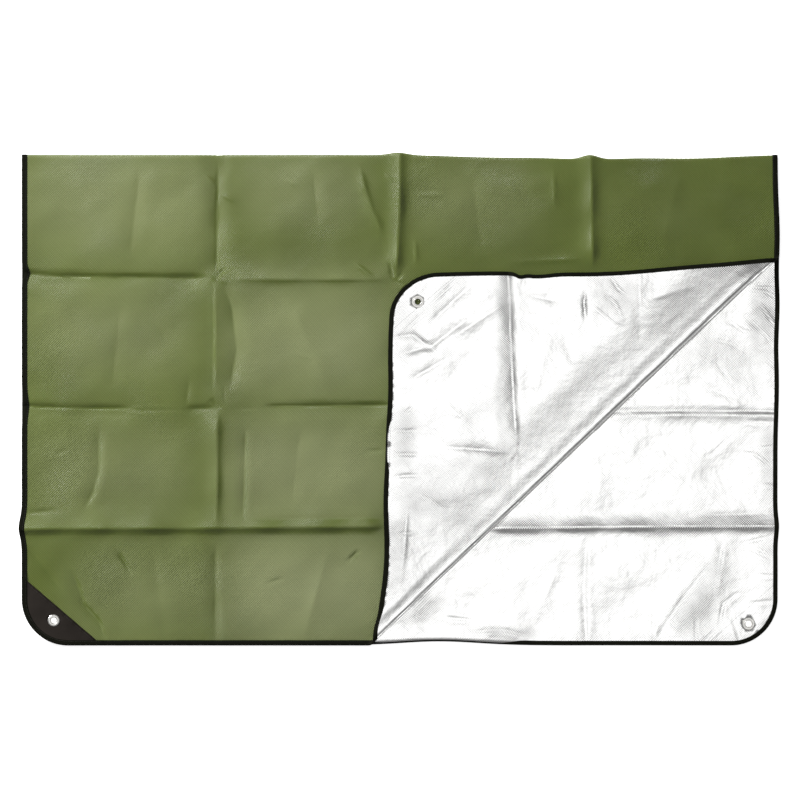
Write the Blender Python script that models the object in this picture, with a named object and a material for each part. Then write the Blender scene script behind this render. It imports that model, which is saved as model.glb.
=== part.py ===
"""Emergency rescue tarp, folded in half across its length, with one corner of the upper half turned back.

Metres, +Z up. The tarp lies on the plane Z = 0, with its top fold towards +Y and its free ends towards -Y.

The cloth is laid out flat first, in the coordinates (s, t) of the cut piece. s runs across its width, and t runs
along its length: from the free end of the lower half at t = 0, over the top fold at t = HALF, to the free end of
the upper half at t = LENGTH. lie(s, t) says where each point of the flat cloth comes to lie. Every sewn piece is
made from that one map, so that the tape, the patches and the eyelets stay on the cloth.
The cloth's normal points out of its silver side. Its other side is green, and the corner patches are sewn there.
"""

import math
from collections import namedtuple

import bpy
import numpy as np
from mathutils.geometry import delaunay_2d_cdt

MM = 0.001

# Cloth: a coated woven sheet, cut at 5 ft x 6.5 ft, silver on one side and green on the other
WIDTH = 1.524
LENGTH = 1.981
CLOTH = 1.2 * MM
CORNER_RADIUS = 93 * MM
GAP = 0.3 * MM

# Top fold, where the upper half leaves the lower half
TOP_RADIUS = 2.6 * MM
HALF = LENGTH / 2
DEPTH = HALF - (math.pi / 2 - 1) * TOP_RADIUS
TOP_EASE = 60 * MM

# Turned back corner: the line that it is folded along, the roll there, and where its corner lands.
# The roll widens along the line, and is pinched again where it ends at the cloth's side.
FOLD_FROM = np.array([-0.0600, -DEPTH / 2])
FOLD_TO = np.array([WIDTH / 2, 0.289])
ROLL_FROM = 7 * MM
ROLL_TO = 13 * MM
ROLL_END = 5 * MM
ROLL_PINCH = 0.10
FLAP_CORNER = np.array([-0.0160, 0.2530])
FLAP_SETTLE = 0.13

# The shift that puts the origin under the middle of the whole tarp
CENTRING = np.array([0.9, -2.3]) * MM

# Edge tape: a band folded over the raw edge, so it shows on both sides
TAPE_WIDTH = 10 * MM
TAPE_THICK = 0.6 * MM
TAPE_INSET = TAPE_WIDTH + 1 * MM

# Corner patches. The tape steps down TAPE_STEP past a patch, and counts as lifted up to TAPE_LIFTED past it.
PATCH_THICK = 0.8 * MM
PATCH_TUCK = 2 * MM
TAPE_STEP = 4 * MM
TAPE_LIFTED = 1.5 * TAPE_STEP

# Two-part eyelets. The eyelet's crown runs from CROWN_FROM to CROWN_TO, and its barrel goes through a washer and is
# rolled over into a lip, flat up to LIP_FLAT past the barrel.
EYELET_BORE = 6.0 * MM
EYELET_RADIUS = 12.0 * MM
EYELET_RIM = 0.5 * MM
CROWN_FROM = 7.4 * MM
CROWN_TO = 9.6 * MM
THROAT_DROP = 0.9 * MM
BARREL_WALL = 0.9 * MM
WASHER_THICK = 0.7 * MM
WASHER_BEVEL = 0.4 * MM
WASHER_EDGE = 0.2 * MM
LIP_HEIGHT = 0.5 * MM
LIP_THROAT = 0.1 * MM
LIP_FLAT = 1.4 * MM
LIP_REACH = 1.8 * MM
CLOTH_HOLE = 8.2 * MM

# Heights of the cloth's middle above the floor
BACK_FLOOR = CLOTH / 2
BACK_EDGE = CLOTH / 2 + GAP + TAPE_THICK
BACK_CORNER = 3.5 * MM
FRONT_BASE = 7.6 * MM
FRONT_CORNER = 8.8 * MM
FRONT_NEAR_ROLL = 1.2 * MM
NEAR_ROLL_FROM = 30 * MM
NEAR_ROLL_EASE = 90 * MM
FLAP_ABOVE_FRONT = 4.0 * MM
FLAP_CORNER_HEIGHT = 12.6 * MM
EDGE_EASE = 35 * MM
CORNER_FLAT = 0.165
CORNER_EASE = 0.075

# Mesh sizes. A lattice point keeps clear of lines and of the tape's inner line by these shares of its step.
STATION_STEP = 52 * MM
LINE_STEP = 62 * MM
LATTICE_STEP = 64 * MM
HIDDEN_STEP = 95 * MM
HIDDEN_MARGIN = 40 * MM
CLEAR_OF_LINES = 0.55
CLEAR_OF_TAPE = 0.3
CLOSEST = 9 * MM
ARC_STEPS = 7
BEND_STEPS = 6
HOLE_STEPS = 16
RING_STEPS = 20

# Rounding: the smallest length that counts, the distance at which flat points merge, the step either side of a
# point from which the cloth's normal is taken, and the rounds in which a place on the widening roll is found
ROUNDING = 1e-9
MERGE = 1e-7
NORMAL_STEP = 0.4 * MM
ROUNDS = 20

# Creases left by packing the tarp, each a straight ridge (+) or trough (-) as it lies on its own layer.
# Its ends are (x0, y0) and (x1, y1) in metres. In millimetres, rise is its height, width how far each flank runs,
# and shoulder the height of a broad swell under it, out of which a trough is pressed.
Crease = namedtuple("Crease", "x0 y0 x1 y1 rise width shoulder", defaults=(0,))
FRONT_CREASES = [
    Crease(-0.800, 0.258, -0.376, 0.250, -2.6, 26),
    Crease(-0.356, 0.247, -0.017, 0.245, 2.2, 26),
    Crease(-0.800, -0.018, -0.372, -0.011, -2.6, 26),
    Crease(-0.372, -0.011, 0.000, -0.004, -2.0, 26),
    Crease(-0.800, -0.259, -0.008, -0.254, 6.5, 40),
    Crease(-0.359, 0.520, -0.370, 0.250, -2.6, 34),
    Crease(-0.372, 0.250, -0.376, 0.030, -2.4, 24),
    Crease(-0.367, -0.017, -0.368, -0.263, 2.2, 26),
    Crease(-0.375, -0.255, -0.380, -0.520, 1.6, 30),
    Crease(-0.003, 0.520, -0.012, 0.262, 4.4, 32),
    Crease(0.378, 0.520, 0.388, 0.245, 4.6, 34),
]
FLAP_CREASES = [
    Crease(0.218, 0.285, 0.238, -0.190, -4.6, 24, 3.6),
    Crease(0.480, 0.285, 0.481, 0.060, 2.6, 24),
    Crease(-0.045, -0.104, 0.232, -0.104, -3.0, 20, 2.6),
]
BACK_CREASES = [
    Crease(0.385, -0.019, 0.800, -0.020, -2.2, 18, 2.6),
    Crease(0.150, -0.252, 0.800, -0.255, 4.0, 36),
    Crease(0.367, -0.270, 0.370, -0.540, 2.4, 24),
    Crease(0.633, -0.270, 0.606, -0.400, 1.8, 28),
]
CREASE_FADE = 45 * MM
SHOULDER_REACH = 3

# Places where the outline is pulled out of line: the pull (dx, dy) at the point (x, y), and its reach each way.
# The points are in metres, and the rest in millimetres.
Pull = namedtuple("Pull", "x y dx dy reach_x reach_y")
EVERY_LAYER_PULLS = [
    Pull(-0.003, DEPTH / 2, 0, 5, 26, 60),
    Pull(0.384, DEPTH / 2, 0, 9, 22, 60),
    Pull(0.200, DEPTH / 2, 0, -5, 120, 60),
    Pull(0.385, DEPTH / 2, 0, -8, 100, 60),
    Pull(0.580, DEPTH / 2, 0, -7, 120, 60),
    Pull(WIDTH / 2, 0.330, 4, 0, 60, 80),
]
FRONT_PULLS = [
    Pull(-WIDTH / 2, 0.256, 6, 0, 40, 12),
    Pull(-WIDTH / 2, -0.012, 4, 0, 40, 24),
    Pull(-WIDTH / 2, -0.258, -6, 0, 60, 26),
]
FLAP_PULLS = [
    Pull(0.243, 0.262, 0, -5, 10, 26),
    Pull(0.276, 0.268, 0, -6, 36, 40),
    Pull(0.410, 0.270, 0, -11, 165, 70),
    Pull(-0.020, 0.000, 6, 0, 40, 80),
    Pull(-0.030, -0.125, 5, 0, 70, 70),
    Pull(-0.025, -0.330, 16, 0, 70, 130),
]
BACK_PULLS = [
    Pull(WIDTH / 2, -0.256, 3, 0, 50, 26),
    Pull(WIDTH / 2, 0.190, 4, 0, 60, 60),
    Pull(WIDTH / 2, 0.030, 3, 0, 60, 80),
    Pull(0.080, -DEPTH / 2, 0, 8, 110, 40),
]

# How far inside the roll the turned back corner's own pulls reach their full size
PULL_FADE = 35 * MM

# Stretches where the tape hardly shows on the silver side, along the lower and the upper free end
Slip = namedtuple("Slip", "t s_from s_to")
TAPE_SLIPS = [Slip(0, -0.080, 0.250), Slip(LENGTH, 0.320, 0.450)]
SLIP_LIP = 0.12
SLIP_EASE = 0.050

# The four corners: side and end of the cloth, the patch's reach along the end (s) and along the side (t), and the
# eyelet's distance from the side and from the end
Corner = namedtuple("Corner", "name side end reach_s reach_t eyelet_s eyelet_t")
CORNERS = [
    Corner("lower_left", -1, 0, 0.156, 0.138, 0.064, 0.050),
    Corner("lower_right", 1, 0, 0.150, 0.134, 0.058, 0.043),
    Corner("turned_back", 1, 1, 0.134, 0.142, 0.062, 0.055),
    Corner("upper_left", -1, 1, 0.162, 0.139, 0.064, 0.050),
]

# Colours: linear red, green, blue, then roughness and metallic
Finish = namedtuple("Finish", "colour roughness metallic")
GREEN = Finish((0.175, 0.220, 0.078), 0.55, 0.0)
SILVER = Finish((0.86, 0.87, 0.88), 0.30, 1.0)
TAPE = Finish((0.012, 0.012, 0.011), 0.80, 0.0)
PATCH = Finish((0.022, 0.019, 0.018), 0.50, 0.0)
METAL = Finish((0.80, 0.80, 0.78), 0.25, 1.0)


def ease(value):
    """0 below 0, 1 above 1, and a smooth step between."""
    value = np.clip(value, 0, 1)
    return value * value * (3 - 2 * value)


def mix(a, b, share):
    return a + (b - a) * share


# The fold line of the turned back corner and its frame

FOLD_LENGTH = float(np.linalg.norm(FOLD_TO - FOLD_FROM))
ALONG = (FOLD_TO - FOLD_FROM) / FOLD_LENGTH
OUTWARD = np.array([ALONG[1], -ALONG[0]])
ROLL_TAKES = math.pi / 2 - 1


def fold_frame(x, y):
    """How far along the fold line a point is, and how far past it, towards the corner."""
    dx, dy = x - FOLD_FROM[0], y - FOLD_FROM[1]
    return dx * ALONG[0] + dy * ALONG[1], dx * OUTWARD[0] + dy * OUTWARD[1]


def roll_radius(along):
    grown = mix(ROLL_FROM, ROLL_TO, np.clip(along / FOLD_LENGTH, 0, 1))
    return mix(ROLL_END, grown, ease((FOLD_LENGTH - along) / ROLL_PINCH))


def flap_landing():
    """How far the turned back corner slides along the fold, and how much it shortens, for each metre inwards."""
    along, past = fold_frame(WIDTH / 2, -DEPTH / 2)
    landed_along, landed_past = fold_frame(*FLAP_CORNER)
    radius = roll_radius(along)
    inside = past - (2 * ROLL_TAKES + 1) * radius
    return (landed_along - along) / inside, (-landed_past - radius) / inside


SLIDE, SHORTEN = flap_landing()


# Heights of the three layers

def creased(rows, x, y):
    """The height that these creases add at a point of their layer."""
    height = np.zeros_like(x)
    for row in rows:
        dx, dy = row.x1 - row.x0, row.y1 - row.y0
        length = math.hypot(dx, dy)
        along = ((x - row.x0) * dx + (y - row.y0) * dy) / length
        off = np.abs((x - row.x0) * dy - (y - row.y0) * dx) / length
        ends = ease(along / CREASE_FADE) * ease((length - along) / CREASE_FADE)
        flank = np.clip(1 - off / (row.width * MM), 0, None) ** 2
        swell = np.clip(1 - off / (SHOULDER_REACH * row.width * MM), 0, None) ** 2
        height = height + (row.rise * flank + row.shoulder * swell) * MM * ends
    return height


def near_corner(x, y, corner_x, corner_y):
    """1 in the flat zone that a corner patch needs, easing to 0 outside it."""
    return 1 - ease((np.hypot(x - corner_x, y - corner_y) - CORNER_FLAT) / CORNER_EASE)


def back_height(x, y):
    """The lower half. It is flat on the floor but for its creases, its taped edges and its corners."""
    to_edge = np.minimum(WIDTH / 2 - np.abs(x), y + DEPTH / 2)
    height = mix(BACK_EDGE, BACK_FLOOR, ease((to_edge - TAPE_INSET) / EDGE_EASE))
    height = height + creased(BACK_CREASES, x, y)
    for side in (-1, 1):
        flat = near_corner(x, y, side * WIDTH / 2, -DEPTH / 2)
        height = mix(height, BACK_CORNER, flat)
    return height


def front_height(x, y):
    """The upper half, where it lies over the lower one."""
    along, past = fold_frame(x, y)
    height = FRONT_BASE + creased(FRONT_CREASES, x, y)
    height = height + FRONT_NEAR_ROLL * (1 - ease((-past - NEAR_ROLL_FROM) / NEAR_ROLL_EASE))
    top_line = DEPTH / 2 - TOP_RADIUS
    at_top = np.full_like(x, top_line)
    top_height = back_height(x, at_top) + 2 * TOP_RADIUS + creased(FRONT_CREASES, x, at_top)
    height = mix(top_height, height, ease((top_line - y) / TOP_EASE))
    return mix(height, FRONT_CORNER, near_corner(x, y, -WIDTH / 2, -DEPTH / 2))


def roll_foot(along):
    """The height of the upper half where it goes into the roll."""
    radius = roll_radius(along)
    x = FOLD_FROM[0] + along * ALONG[0] - radius * OUTWARD[0]
    y = FOLD_FROM[1] + along * ALONG[1] - radius * OUTWARD[1]
    return front_height(x, y)


def flap_height(x, y, along, inside):
    """The turned back corner, which comes down from the roll to lie on the upper half."""
    under = np.clip(creased(FRONT_CREASES, x, y), 0, None)
    height = FRONT_BASE + FLAP_ABOVE_FRONT + under + creased(FLAP_CREASES, x, y)
    height = mix(height, FLAP_CORNER_HEIGHT, near_corner(x, y, *FLAP_CORNER))
    radius = roll_radius(along)
    return mix(roll_foot(along) + 2 * radius, height, ease((inside - radius) / FLAP_SETTLE))


# Where each point of the flat cloth lies

def pulled(rows, x, y):
    """The sideways shift at a point of a layer."""
    shift = np.zeros((*np.shape(x), 2))
    for row in rows:
        share = np.exp(-(((x - row.x) / (row.reach_x * MM)) ** 2) - ((y - row.y) / (row.reach_y * MM)) ** 2)
        shift = shift + share[..., None] * np.array([row.dx, row.dy]) * MM
    return shift


def lie(s, t):
    """Where points of the flat cloth come to lie, as an array of x, y, z rows."""
    s, t = np.broadcast_arrays(np.asarray(s, float), np.asarray(t, float))
    quarter = math.pi / 2

    # lower half and top fold
    turn = np.clip((t - HALF) / TOP_RADIUS, -quarter, quarter)
    top_line = DEPTH / 2 - TOP_RADIUS
    x = s.copy()
    y = np.where(t < HALF, np.minimum(t - DEPTH / 2, top_line), np.minimum(LENGTH - DEPTH / 2 - t, top_line))
    z = back_height(x, y)
    in_top_fold = np.abs(t - HALF) < quarter * TOP_RADIUS + ROUNDING
    z_fold = back_height(x, np.full_like(x, top_line)) + TOP_RADIUS * (1 + np.sin(turn))
    z_fold = z_fold + creased(FRONT_CREASES, x, np.full_like(x, top_line)) * ease((1 + np.sin(turn)) / 2)
    z = np.where(in_top_fold, z_fold, z)
    y_out = np.where(in_top_fold, top_line + TOP_RADIUS * np.cos(turn), y)

    # upper half, the roll, and the turned back corner
    upper = (t > HALF) & ~in_top_fold
    along, past = fold_frame(x, y)
    radius = roll_radius(along)
    roll = np.clip(past / radius - ROLL_TAKES, -quarter, quarter)
    in_flap = upper & (past / radius - ROLL_TAKES > quarter)
    in_roll = upper & (roll > -quarter) & ~in_flap
    front = upper & ~in_roll & ~in_flap
    inside = np.where(in_flap, past - (2 * ROLL_TAKES + 1) * radius, 0)
    flap_along = along + SLIDE * inside
    depth_in = np.where(in_flap, radius + SHORTEN * inside, np.where(in_roll, radius * (1 - np.cos(roll)), -past))
    turned_x = FOLD_FROM[0] + flap_along * ALONG[0] - depth_in * OUTWARD[0]
    turned_y = FOLD_FROM[1] + flap_along * ALONG[1] - depth_in * OUTWARD[1]
    z = np.where(front, front_height(x, y), z)
    z = np.where(in_roll, roll_foot(along) + radius * (1 + np.sin(roll)), z)
    z = np.where(in_flap, flap_height(turned_x, turned_y, flap_along, depth_in), z)
    folded = in_roll | in_flap
    x = np.where(folded, turned_x, x)
    y_out = np.where(folded, turned_y, y_out)
    shift = pulled(EVERY_LAYER_PULLS, x, y_out)
    flap_share = in_flap * ease((depth_in - radius) / PULL_FADE)
    for rows, share in ((BACK_PULLS, t < HALF), (FRONT_PULLS, front), (FLAP_PULLS, flap_share)):
        shift = shift + pulled(rows, x, y_out) * share[..., None]
    plan = np.stack([x, y_out], axis=-1) + shift + CENTRING
    return np.concatenate([plan, z[..., None]], axis=-1)


def normal(s, t):
    """The cloth's unit normals, out of its silver side."""
    across = lie(s + NORMAL_STEP, t) - lie(s - NORMAL_STEP, t)
    down = lie(s, t + NORMAL_STEP) - lie(s, t - NORMAL_STEP)
    out = np.cross(across, down)
    return out / np.linalg.norm(out, axis=-1, keepdims=True)


def flat_of_front(x, y):
    return np.stack([x, LENGTH - DEPTH / 2 - y], axis=-1)


def flat_of_back(x, y):
    return np.stack([x, y + DEPTH / 2], axis=-1)


def flat_of_flap(x, y):
    """The point of the flat cloth that lies at a point of the turned back corner."""
    flap_along, past = fold_frame(x, y)
    along = flap_along
    for _ in range(ROUNDS):
        radius = roll_radius(along)
        inside = (-past - radius) / SHORTEN
        along = flap_along - SLIDE * inside
    past = inside + (2 * ROLL_TAKES + 1) * radius
    flat_x = FOLD_FROM[0] + along * ALONG[0] + past * OUTWARD[0]
    flat_y = FOLD_FROM[1] + along * ALONG[1] + past * OUTWARD[1]
    return flat_of_front(flat_x, flat_y)


# Lines of the flat cloth that its mesh follows: creases and bends

def bend_angles():
    return [math.pi * (step / BEND_STEPS - 0.5) for step in range(BEND_STEPS + 1)]


def on_roll(angle, along):
    """The point of the flat cloth that comes to this angle of the roll."""
    x, y = FOLD_FROM + along * ALONG + (ROLL_TAKES + angle) * roll_radius(along) * OUTWARD
    return flat_of_front(x, y)


def roll_crossing(angle, inset, at_side):
    """How far along the roll its line at this angle meets a line parallel to the cloth's end, or to its side."""
    axis = 0 if at_side else 1
    target = WIDTH / 2 - inset if at_side else -DEPTH / 2 + inset
    along = 0.0
    for _ in range(ROUNDS):
        past = (ROLL_TAKES + angle) * roll_radius(along)
        along = (target - FOLD_FROM[axis] - past * OUTWARD[axis]) / ALONG[axis]
    return along


def crease_lines():
    """Each crease's apex and a line on each flank, as pairs of ends on the flat cloth."""
    layers = ((BACK_CREASES, flat_of_back), (FRONT_CREASES, flat_of_front), (FLAP_CREASES, flat_of_flap))
    lines = []
    for rows, flat_of in layers:
        for row in rows:
            side = np.array([row.y0 - row.y1, row.x1 - row.x0])
            side = side / np.linalg.norm(side) * row.width * MM
            for share in (0, -0.5, 0.5) + ((-1, 1) if row.shoulder else ()):
                x0, y0 = np.array([row.x0, row.y0]) + share * side
                x1, y1 = np.array([row.x1, row.y1]) + share * side
                lines.append((flat_of(x0, y0), flat_of(x1, y1)))
    return lines


def hidden(s, t):
    """Whether a point of the lower half is covered by the upper half."""
    x, y = s, t - DEPTH / 2
    return t < HALF and fold_frame(x, y)[1] < -HIDDEN_MARGIN


# The border: pairs of points on the raw edge and at the tape's inner line

def edge_stops(lines, start, end, at, fixed):
    """Where lines cross one straight side of the inner line, as distances along it.
    start and end bound the side, at is the inner line's place on the other axis, and fixed that axis's number."""
    stops = []
    for a, b in lines:
        if (a[fixed] - at) * (b[fixed] - at) < 0:
            share = (at - a[fixed]) / (b[fixed] - a[fixed])
            place = a[1 - fixed] + share * (b[1 - fixed] - a[1 - fixed])
            if start < place < end:
                stops.append(place)
    return stops


def filled(pairs, step):
    """The pairs in order, with evenly spaced ones added where two are further apart than step."""
    pairs = sorted(pairs)
    kept = [pairs[0]]
    for pair in pairs[1:]:
        count = max(1, math.ceil((pair[0] - kept[-1][0]) / step))
        before = kept[-1]
        kept += [tuple(mix(before[i], pair[i], n / count) for i in (0, 1)) for n in range(1, count + 1)]
    return kept


def border():
    """The stations round the cloth, counter-clockwise: points on the raw edge and on the tape's inner line."""
    half, inner = WIDTH / 2, TAPE_INSET
    lines = crease_lines()
    straight_s = half - CORNER_RADIUS
    straight_t = (CORNER_RADIUS, LENGTH - CORNER_RADIUS)
    angles = bend_angles()
    top = [(HALF + TOP_RADIUS * a, HALF + TOP_RADIUS * a) for a in angles]

    def roll_stations(at_side, axis):
        return [tuple(on_roll(a, roll_crossing(a, inset, at_side))[axis] for inset in (0, inner)) for a in angles]

    at_end = roll_stations(False, 0)
    at_side = roll_stations(True, 1)
    slips = {end: [] for end in (0, LENGTH)}
    for row in TAPE_SLIPS:
        slips[row.t] += [row.s_from, row.s_from + SLIP_EASE, row.s_to - SLIP_EASE, row.s_to]

    def apart(stops, taken, reach):
        """Those stops, as pairs, that are further than reach from the pairs taken and from each other."""
        kept = []
        for stop in stops:
            if all(abs(stop - p) > reach and abs(stop - q) > reach for p, q in taken + kept):
                kept.append((stop, stop))
        return kept

    sides = []
    for at, fixed, bounds, bends in (
        (0, 1, (-straight_s, straight_s), []),
        (half, 0, straight_t, top + at_side),
        (LENGTH, 1, (-straight_s, straight_s), at_end),
        (-half, 0, straight_t, top),
    ):
        inner_at = at - math.copysign(inner, at - (LENGTH / 2 if fixed else 0))
        stops = edge_stops(lines, bounds[0], bounds[1], inner_at, fixed)
        stops += [s for s in slips.get(at, []) if fixed == 1]
        fixed_pairs = bends + [(stop, stop) for stop in (*bounds, *patch_stops(at, fixed))]
        pairs = apart(stops, fixed_pairs, CLOSEST) + fixed_pairs
        pairs = filled(pairs, STATION_STEP)
        if at in (LENGTH, -half):
            pairs = pairs[::-1]
        if fixed:
            sides.append([((p, at), (q, inner_at)) for p, q in pairs])
        else:
            sides.append([((at, p), (inner_at, q)) for p, q in pairs])

    stations = []
    centres = [(half, 0), (half, LENGTH), (-half, LENGTH), (-half, 0)]
    for number, side in enumerate(sides):
        stations += side
        corner_s, corner_t = centres[number]
        centre = np.array([
            corner_s - math.copysign(CORNER_RADIUS, corner_s),
            corner_t + CORNER_RADIUS if corner_t == 0 else corner_t - CORNER_RADIUS,
        ])
        for step in range(1, ARC_STEPS):
            angle = math.pi / 2 * (number - 1 + step / ARC_STEPS)
            spoke = np.array([math.cos(angle), math.sin(angle)])
            stations.append((tuple(centre + CORNER_RADIUS * spoke), tuple(centre + (CORNER_RADIUS - inner) * spoke)))
    edge = np.array([pair[0] for pair in stations])
    inside = np.array([pair[1] for pair in stations])
    return edge, inside


# Corners of the flat cloth

def corner_point(corner):
    return np.array([corner.side * WIDTH / 2, corner.end * LENGTH])


def corner_inward(corner):
    """The signs of the two directions that lead from a corner into the cloth."""
    return np.array([-corner.side, 1 - 2 * corner.end])


def eyelet_place(corner):
    return corner_point(corner) + corner_inward(corner) * np.array([corner.eyelet_s, corner.eyelet_t])


def circle(centre, radius, steps):
    angles = [2 * math.pi * n / steps for n in range(steps)]
    return np.array([centre + radius * np.array([math.cos(a), math.sin(a)]) for a in angles])


# Flat triangulation and solids made from it

def in_cloth(point, inset):
    """Whether a point is inside the cloth's rounded outline by more than inset."""
    s, t = abs(point[0]), min(point[1], LENGTH - point[1])
    if s > WIDTH / 2 - inset or t < inset:
        return False
    ds, dt = s - (WIDTH / 2 - CORNER_RADIUS), CORNER_RADIUS - t
    return ds < 0 or dt < 0 or math.hypot(ds, dt) < CORNER_RADIUS - inset


class FlatMesh:
    """Points and lines on the flat cloth, to be triangulated."""

    def __init__(self):
        self.points = []
        self.edges = []

    def loop(self, points):
        start = len(self.points)
        self.points += [tuple(p) for p in points]
        count = len(points)
        self.edges += [(start + n, start + (n + 1) % count) for n in range(count)]
        return list(range(start, start + count))

    def clear(self, point, reach):
        """Whether no point is yet within reach."""
        taken = np.array(self.points)
        return np.min(np.hypot(taken[:, 0] - point[0], taken[:, 1] - point[1])) > reach

    def line(self, points, reach):
        """A line through those of the points that are clear of others."""
        before = None
        for point in points:
            if not self.clear(point, reach):
                continue
            self.points.append(tuple(point))
            if before is not None:
                self.edges.append((before, len(self.points) - 1))
            before = len(self.points) - 1

    def triangles(self, keep):
        """(points, triangles) of the triangulation, with those left out whose middle keep refuses."""
        made = delaunay_2d_cdt(self.points, self.edges, [], 0, MERGE)
        points = np.array([tuple(p) for p in made[0]])
        faces = [f for f in made[2] if keep(points[list(f)].mean(axis=0))]
        return points, np.array(faces)


def plate(points, faces, low, high):
    """The solid between two distances from the cloth's middle, over a flat triangulation: (vertices, faces)."""
    place, out = lie(points[:, 0], points[:, 1]), normal(points[:, 0], points[:, 1])
    corner = points[faces]
    turn = np.cross(corner[:, 1] - corner[:, 0], corner[:, 2] - corner[:, 0])
    faces = np.where(turn[:, None] > 0, faces, faces[:, ::-1])
    used = {}
    for a, b, c in faces.tolist():
        for edge in ((a, b), (b, c), (c, a)):
            used[edge] = edge[::-1]
    rim = [edge for edge in used if edge[::-1] not in used]
    count = len(points)
    vertices = np.concatenate([place + high * out, place + low * out])
    solid = faces.tolist()
    solid += [[c + count, b + count, a + count] for a, b, c in faces.tolist()]
    solid += [[b, a, a + count, b + count] for a, b in rim]
    return vertices, solid


def ring(profile, steps):
    """The solid that a closed outline of (radius, height) points sweeps round the Z axis."""
    vertices, faces = [], []
    count = len(profile)
    for step in range(steps):
        angle = 2 * math.pi * step / steps
        vertices += [(r * math.cos(angle), r * math.sin(angle), h) for r, h in profile]
        after = (step + 1) % steps
        for n in range(count):
            m = (n + 1) % count
            faces.append([step * count + n, after * count + n, after * count + m, step * count + m])
    return np.array(vertices), faces


# Blender objects

def finish_material(name, finish):
    material = bpy.data.materials.new(name)
    material.use_nodes = True
    shader = material.node_tree.nodes["Principled BSDF"]
    shader.inputs["Base Color"].default_value = (*finish.colour, 1)
    shader.inputs["Roughness"].default_value = finish.roughness
    shader.inputs["Metallic"].default_value = finish.metallic
    material.diffuse_color = (*finish.colour, 1)
    return material


def solid_object(name, vertices, faces, materials, parent):
    """A mesh object whose unused points are dropped."""
    used = sorted({v for face in faces for v in face})
    new = {old: number for number, old in enumerate(used)}
    mesh = bpy.data.meshes.new(name)
    mesh.from_pydata([tuple(vertices[v]) for v in used], [], [[new[v] for v in face] for face in faces])
    for material in materials:
        mesh.materials.append(material)
    mesh.update()
    body = bpy.data.objects.new(name, mesh)
    bpy.context.scene.collection.objects.link(body)
    body.parent = parent
    return body


def clear_scene():
    for old in list(bpy.data.objects):
        bpy.data.objects.remove(old)


# Pieces

def make_cloth(edge, inside, materials, parent):
    """The one-piece sheet, with its silver side and its green side in their own materials."""
    flat = FlatMesh()
    outer = flat.loop(edge)
    inner = flat.loop(inside)
    count = len(outer)
    flat.edges += [(outer[n], inner[n]) for n in range(count)]
    flat.edges += [(outer[n], inner[(n + 1) % count]) for n in range(count)]
    for corner in CORNERS:
        flat.loop(circle(eyelet_place(corner), CLOTH_HOLE, HOLE_STEPS))

    def run(a, b, step, reach):
        """A line from a to b, as far as it is inside the tape's inner line."""
        a, b = np.array(a), np.array(b)
        steps = max(1, math.ceil(np.linalg.norm(b - a) / step))
        points = [mix(a, b, n / steps) for n in range(steps + 1)]
        flat.line([p for p in points if in_cloth(p, TAPE_INSET + ROUNDING)], reach)

    def joined(points):
        """A line through these points, from one inner station to another."""
        before, last = (int(np.argmin(np.hypot(*(inside - p).T))) + count for p in (points[0], points[-1]))
        for point in points[1:-1]:
            flat.points.append(tuple(point))
            flat.edges.append((before, len(flat.points) - 1))
            before = len(flat.points) - 1
        flat.edges.append((before, last))

    side = WIDTH / 2 - TAPE_INSET
    for angle in bend_angles():
        t = HALF + TOP_RADIUS * angle
        joined([(s, t) for s in np.linspace(-side, side, math.ceil(2 * side / LINE_STEP) + 1)])
        ends = [roll_crossing(angle, TAPE_INSET, at_side) for at_side in (False, True)]
        joined([on_roll(angle, along) for along in np.linspace(*ends, math.ceil(FOLD_LENGTH / LINE_STEP) + 1)])
    for a, b in crease_lines():
        run(a, b, LINE_STEP, CLOSEST)

    rows = round(LENGTH / LATTICE_STEP)
    columns = round(WIDTH / LATTICE_STEP)
    for row in range(1, rows):
        for column in range(1, columns):
            s = WIDTH * ((column + 0.5 * (row % 2)) / columns - 0.5)
            t = LENGTH * row / rows
            step = HIDDEN_STEP if hidden(s, t) else LATTICE_STEP
            if in_cloth((s, t), TAPE_INSET + CLEAR_OF_TAPE * step) and flat.clear((s, t), CLEAR_OF_LINES * step):
                flat.points.append((s, t))

    eyelets = [eyelet_place(corner) for corner in CORNERS]
    points, faces = flat.triangles(lambda p: all(math.hypot(*(p - e)) > CLOTH_HOLE for e in eyelets))
    vertices, solid = plate(points, faces, -CLOTH / 2, CLOTH / 2)
    cloth = solid_object("tarp_cloth", vertices, solid, materials, parent)
    for polygon in cloth.data.polygons[len(faces):]:
        polygon.material_index = 1
    return cloth


def tape_lip(edge):
    """The share of the tape's width that shows on the silver side, at each station."""
    share = np.ones(len(edge))
    for row in TAPE_SLIPS:
        here = np.abs(edge[:, 1] - row.t) < CLOTH
        inward = np.minimum(edge[:, 0] - row.s_from, row.s_to - edge[:, 0])
        share = np.where(here, np.minimum(share, mix(1, SLIP_LIP, ease(inward / SLIP_EASE))), share)
    return share


def patch_under(edge):
    """1 at the stations where the tape also covers a corner patch, and 0 elsewhere."""
    covered = np.zeros(len(edge))
    for corner in CORNERS:
        reach = np.array([corner.reach_s, corner.reach_t]) + TAPE_LIFTED
        covered = np.where((np.abs(edge - corner_point(corner)) < reach).all(axis=1), 1, covered)
    return covered


def patch_stops(at, fixed):
    """Where the tape steps down from the corner patches, along one straight side of the cloth."""
    stops = []
    for corner in CORNERS:
        place = corner_point(corner)
        if place[fixed] == at:
            reach = (corner.reach_t if fixed == 0 else corner.reach_s) + TAPE_STEP
            stops.append(place[1 - fixed] + corner_inward(corner)[1 - fixed] * reach)
    return stops


# The walls of the tape's section that lie along the cloth are split the same way as the cloth under them
FALLING_WALLS = (5, 9)
RISING_WALLS = (1, 7)


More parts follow.
